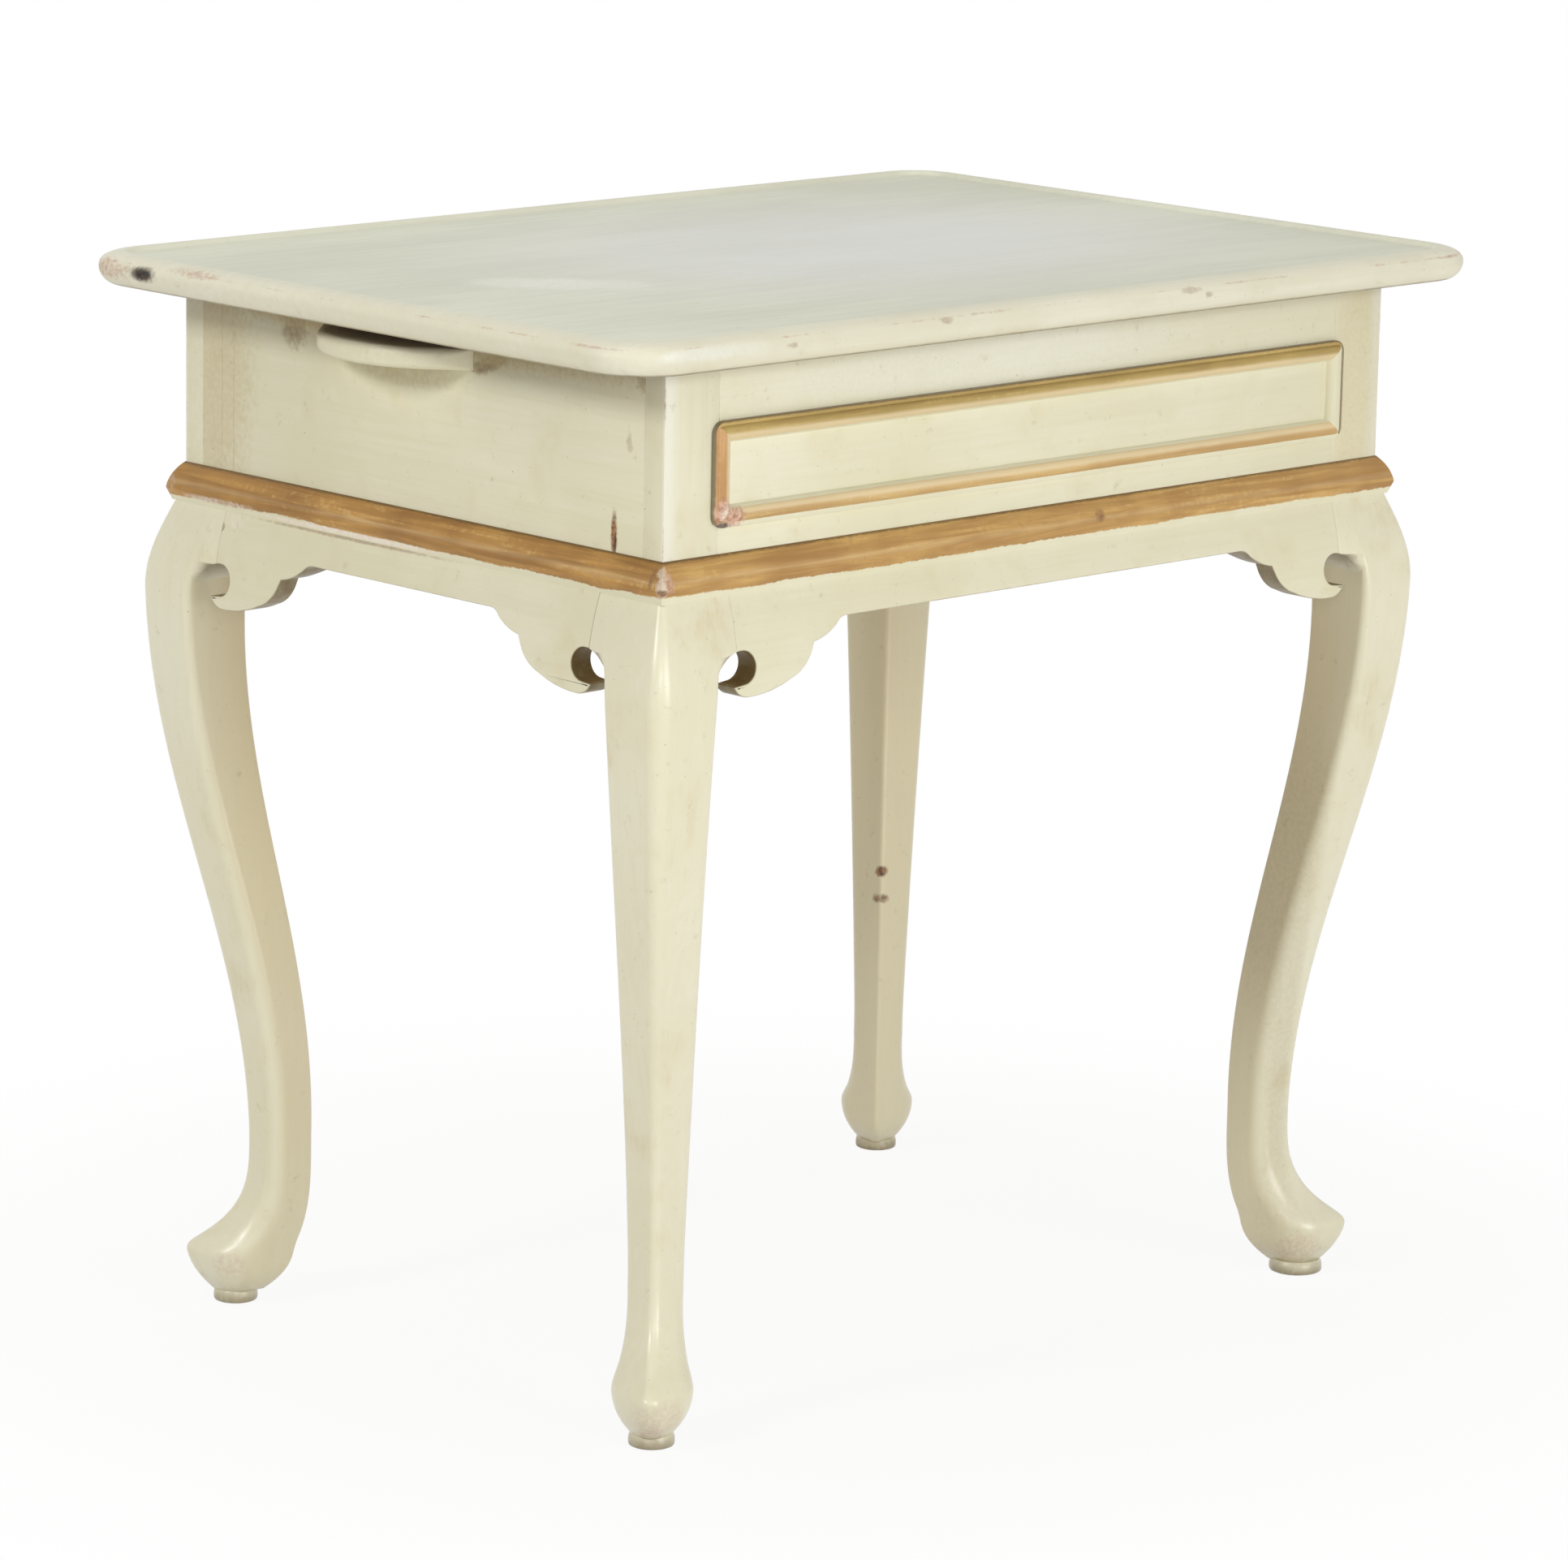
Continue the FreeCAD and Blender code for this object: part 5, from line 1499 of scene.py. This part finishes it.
@dataclass
class Case:
    """The shallow case: front frame, ends and back with softened arrises, and the bare pieces inside it."""

    half_length: float = 329.5
    half_width: float = 234.0
    wall: float = 18.0
    arris: float = 0.14
    roughness: float = 0.42

    def end_marks(self) -> tuple[Mark, ...]:
        """The marks of the left end: splits, nicks, a stain and a yellowed patch, painted shade under the
        top, under the lip and at its right end, and the slot's inside, painted dark as shade.

        Each row gives y, z, the reach along both, what shows, how ragged it is and how strong.

        Returns:
            The marks.
        """
        rows = (
            (-189, 588, 3.2, 17, Layer.WOOD, 0.4, 1.0),
            (-190, 582, 1.2, 9, Layer.HOLE, 0.4, 0.8),
            (196, 640, 0.8, 70, Layer.WOOD, 0.5, 0.25),
            (184, 618, 0.8, 60, Layer.WOOD, 0.5, 0.25),
            (122, 681, 14, 15, Layer.GRIME_AND_SHADE, 0.6, 0.65),
            # Painted shade at the lip's right end
            (-62, 677, 10, 5, Layer.GRIME_AND_SHADE, 0.3, 0.75),
            (-71, 681, 11, 5.5, Layer.GRIME_AND_SHADE, 0.3, 0.75),
            (-80, 685, 10, 5, Layer.GRIME_AND_SHADE, 0.3, 0.7),
            # Painted shadow under the lip
            (18, 668, 64, 14, Layer.GRIME_AND_SHADE, 0.2, 0.35),
            (205, 640, 46, 90, Layer.YELLOWED_AND_SHADE, 0.5, 0.5),
            # Painted shade under the top's overhang
            (0, 692, 260, 16, Layer.YELLOWED_AND_SHADE, 0.4, 0.8),
            (-202, 648, 3, 8, Layer.WOOD, 1.0, 0.3),
            (-214, 688, 7, 8, Layer.WOOD, 1.1, 0.35))
        marks = [Mark((-self.half_length, y, z), (3, across, tall), layer, ragged, depth)
                 for y, z, across, tall, layer, ragged, depth in rows]
        # The slot's inside, painted near black as shade
        return (*marks, Mark((-318, 18, 690), (10.5, 76, 12), Layer.HOLE, 0.1))

    def build(self) -> None:
        """Paint the outside boards and dress the inside ones in bare wood."""
        inside = (self.half_length - self.wall, self.half_width - self.wall)
        corners = (self.half_length, self.half_width)
        # Painted light: a pale strip along the top rail under the overhang
        painted_light_rail = (Mark((-50, -234, 677), (215, 4, 20), Layer.RUBBED_AND_HIGHLIGHT, 0.2, 0.42),)
        # Painted shade: the right front stile darkened where the light falls off
        painted_shade_stile = (Mark((308, -234, 628), (30, 8, 130), Layer.YELLOWED_AND_SHADE, 0.2, 0.32),)
        for name, lay, marks, nodes in (
                ("case_paint_long", Lay.LONG, painted_light_rail, ("top_rail", "bottom_rail", "case_back")),
                ("case_paint_tall", Lay.TALL, painted_shade_stile, ("front_stile_left", "front_stile_right")),
                ("case_paint_deep", Lay.DEEP, self.end_marks(), ("case_end_left", "case_end_right"))):
            paint = CreamPaint(name, lay=lay, inside=inside, corners=corners, roughness=self.roughness,
                               marks=marks).material()
            for node in nodes:
                softened(node, self.arris, paint, "table")
        dress(BareWood("case_wood_deep", lay=Lay.DEEP), *(
            f"drawer_{part}_{side}" for part in ("runner", "guide", "kicker") for side in ("left", "right")))
        # Inside pieces in dark aged wood, partly painted shade for the gap above the slides
        dress(BareWood("case_wood_long", **BareWood.OLD_AND_SHADE), "slide_guide_front", "slide_guide_back",
              "slide_centre_stop", "top_glue_blocks", "stand_glue_blocks")
        dress(BareWood("peg_wood", lay=Lay.TALL, early=(178, 134, 88), late=(126, 84, 50)),
              "slide_peg_left", "slide_peg_right")


@dataclass
class Stand:
    """The stand: four cabriole legs and four aprons."""

    post_x: float = 279.5
    post_y: float = 184.0
    inner_x: float = 311.5
    inner_y: float = 216.0
    step: float = 24.0
    pad: float = 15.0
    wide_pad: float = 18.5

    def legs(self) -> None:
        """Make the legs; the front right one has a wider pad and the back right one a paler copy of the
        paint, as painted light.
        """
        paint = CreamPaint(
            # aged also gives the painted shade of the legs' inner faces
            "leg_paint", tone=(233, 230, 202), aged=(214, 197, 148), lay=Lay.TALL, roughness=0.34, coat=0.8,
            wear=0.98, marks=(
                Mark((-318, -232, 22), (22, 22, 18), Layer.PRIMER, 0.16, 0.34),
                Mark((290, -226, 20), (20, 20, 15), Layer.PRIMER, 0.16, 0.34),
                Mark((-326, 192, 30), (15, 15, 13), Layer.PRIMER, 0.16, 0.34),
                Mark((-326, -199, 95), (4, 4, 6), Layer.WOOD, 0.9, 0.6),
                # Painted shade on the front right leg's inner flank
                Mark((284, -205, 280), (15, 62, 340), Layer.GRIME_AND_SHADE, 0.2, 0.22))).material()
        # A paler copy of the leg paint for the back right leg: painted light
        pale = CreamPaint(
            "leg_paint_lit_copy", tone=(244, 240, 211), aged=(238, 226, 186), lay=Lay.TALL, roughness=0.34,
            coat=0.45, marks=(
                Mark((275, 180, 219.5), (6, 6, 4.5), Layer.WOOD, 0.5),
                Mark((275, 180, 199.5), (6, 6, 4), Layer.WOOD, 0.5))).material()
        for name, x, y, pad, finish in (
                ("leg_front_left", -1, -1, self.pad, paint), ("leg_back_left", -1, 1, self.pad, paint),
                ("leg_front_right", 1, -1, self.wide_pad, paint), ("leg_back_right", 1, 1, self.pad, pale)):
            CabrioleLeg(name, x, y, pad).build(finish)

    def aprons(self) -> None:
        """Make the aprons; the left one's joint with the front post stands open."""
        long = CreamPaint("apron_paint_long", roughness=0.38).material()
        deep = CreamPaint("apron_paint_deep", lay=Lay.DEEP, roughness=0.38, marks=(
            Mark((-340, 172, 546), (9, 9, 5), Layer.CHALK, 1.0, 0.6),
            Mark((-340, 184, 541), (9, 3, 3), Layer.WOOD, 0.9, 0.6),
            # Painted shadow line under the waist moulding
            Mark((-337, 55, 551.2), (6, 105, 1.6), Layer.WOOD, 0.4, 0.5))).material()
        for name, half, inner, side, crack, paint in (
                ("apron_front", self.post_x, self.inner_y, (0, -1, 0), 0, long),
                ("apron_back", self.post_x, self.inner_y, (0, 1, 0), 0, long),
                ("apron_left", self.post_y, self.inner_x, (-1, 0, 0), -1, deep),
                ("apron_right", self.post_y, self.inner_x, (1, 0, 0), 0, deep)):
            Apron(name, half, inner, inner + self.step, side, crack).build(paint)

    def build(self) -> None:
        """Make the legs and the aprons."""
        self.legs()
        self.aprons()


# ---------------------------------------------------------------- studio

def pose(right: np.ndarray, up: np.ndarray, back: np.ndarray, place: np.ndarray) -> Matrix:
    """The matrix of a lamp or camera that stands at a place and looks against `back`."""
    return Matrix(np.vstack([np.column_stack([right, up, back, place]), [0, 0, 0, 1]]).tolist())


@dataclass(frozen=True)
class Lamp:
    """A soft square lamp: its place and side in metres, its power in watts."""

    name: str
    place: Point
    size: float
    power: float
    AIM: ClassVar[Point] = (0, 0, 0.5)

    def build(self) -> None:
        """Add the lamp, looking at the middle of the table."""
        data = bpy.data.lights.new(self.name, "AREA")
        data.size, data.energy = self.size, self.power
        lamp = bpy.data.objects.new(self.name, data)
        away = np.array(self.place) - np.array(self.AIM)
        away /= np.linalg.norm(away)
        side = np.cross([0, 0, 1], away)
        side /= np.linalg.norm(side)
        lamp.matrix_world = pose(side, np.cross(away, side), away, np.array(self.place))
        bpy.context.scene.collection.objects.link(lamp)


@dataclass
class Studio:
    """A pale floor, soft light and a camera at the photograph's angle."""

    azimuth: float = -43.82921
    elevation: float = 12.25499
    roll: float = 1.12442
    distance: float = 4.518454
    lens: float = 152.57
    sensor: float = 36.0
    aside: float = 0.00138415
    aim: float = 0.35594319
    ambient: float = 0.27
    warmth: Colour = (255, 243, 218)
    backdrop: float = 0.92
    floor_tone: Colour = (244, 243, 241)
    floor_radius: float = 30.0
    floor_drop: float = 0.0004
    lamps: tuple[Lamp, ...] = (
        Lamp("front_lamp", (0.25, -4.35, 1.2), 2.2, 74.0), Lamp("side_lamp", (-4.0, 0.2, 2.75), 0.9, 57.0),
        Lamp("high_lamp", (-0.3, 0.4, 4.6), 2.4, 44.0), Lamp("near_lamp", (-1.5, -1.7, 1.05), 0.5, 5.4))

    def camera(self) -> None:
        """Set the camera: it looks at the aim from its distance, turned by azimuth, elevation and roll."""
        a, e, r = (math.radians(angle) for angle in (self.azimuth, self.elevation, self.roll))
        back = np.array([math.sin(a) * math.cos(e), -math.cos(a) * math.cos(e), math.sin(e)])
        level = np.array([math.cos(a), math.sin(a), 0.0])
        above = np.cross(back, level)
        right, up = level * math.cos(r) + above * math.sin(r), above * math.cos(r) - level * math.sin(r)
        eye = level * self.aside + np.array([0, 0, self.aim]) + back * self.distance
        data = bpy.data.cameras.new("camera")
        data.sensor_width, data.sensor_fit, data.lens = self.sensor, "HORIZONTAL", self.lens
        camera = bpy.data.objects.new("camera", data)
        camera.matrix_world = pose(right, up, back, eye)
        bpy.context.scene.collection.objects.link(camera)
        bpy.context.scene.camera = camera

    def seen(self, graph: Graph) -> Sock:
        """1 for rays from the camera and for those that gloss or glass sends on.

        Args:
            graph: the graph that is added to.
        Returns:
            The share, 0 or 1.
        """
        rays = graph.node("ShaderNodeLightPath").socket.node.outputs
        camera, gloss, glass = (
            Sock(graph, rays[f"Is {kind} Ray"]) for kind in ("Camera", "Glossy", "Transmission"))
        return camera.most(gloss).most(glass)

    def world(self) -> None:
        """A white backdrop to look at, and a softer, warmer even light on the table."""
        world = bpy.data.worlds.new("studio")
        world.use_nodes = True
        graph = Graph(world.node_tree)
        strength = self.ambient + self.seen(graph) * (1 - self.ambient)
        tint = graph.mix(self.seen(graph), self.warmth, (255, 255, 255))
        light = graph.node("ShaderNodeBackground", sockets={"Color": tint, "Strength": strength})
        graph.node("ShaderNodeOutputWorld", sockets={"Surface": light})
        bpy.context.scene.world = world

    def floor(self, sides: int = 96) -> None:
        """A round pale floor: mostly white to the camera, with the table's faint shadow on it.

        Args:
            sides: how many sides the round has.
        """
        angle = np.linspace(0, 2 * np.pi, sides, endpoint=False)
        ring = np.stack([np.cos(angle), np.sin(angle), np.zeros(sides)], axis=1) * self.floor_radius
        mesh = bpy.data.meshes.new("floor")
        mesh.from_pydata(ring - np.array([0, 0, self.floor_drop]), [], [list(range(sides))])
        finish, graph = blank("floor_white")
        matt = graph.node("ShaderNodeBsdfDiffuse", sockets={"Color": linear(self.floor_tone)})
        white = graph.node("ShaderNodeEmission", sockets={"Color": (1, 1, 1, 1), "Strength": 1.0})
        far = graph.length(graph.place()).ramp(0.36, 0.86)
        share = self.backdrop + far * (1 - self.backdrop)
        both = graph.node("ShaderNodeMixShader", sockets={0: self.seen(graph) * share, 1: matt, 2: white})
        graph.node("ShaderNodeOutputMaterial", sockets={"Surface": both})
        mesh.materials.append(finish)
        floor = bpy.data.objects.new("floor", mesh)
        bpy.context.scene.collection.objects.link(floor)

    def build(self) -> None:
        """Make the studio."""
        bpy.context.scene.view_settings.view_transform = "Standard"
        self.camera()
        self.world()
        self.floor()
        for lamp in self.lamps:
            lamp.build()


def main() -> None:
    """Build the table and the studio."""
    logging.basicConfig(level=logging.INFO, format="%(name)s: %(message)s")
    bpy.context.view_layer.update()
    Studio().build()
    TrayTop().build()
    Case().build()
    WaistMouldings().build()
    Drawer().build()
    slide_paint = CreamPaint("slide_paint", inside=(328.0, 400.0)).material()
    CandleSlide("slide_left", "candle_slide_left", -1).build(slide_paint)
    CandleSlide("slide_right", "candle_slide_right", 1).build(slide_paint)
    Stand().build()


if __name__ == "__main__":
    main()
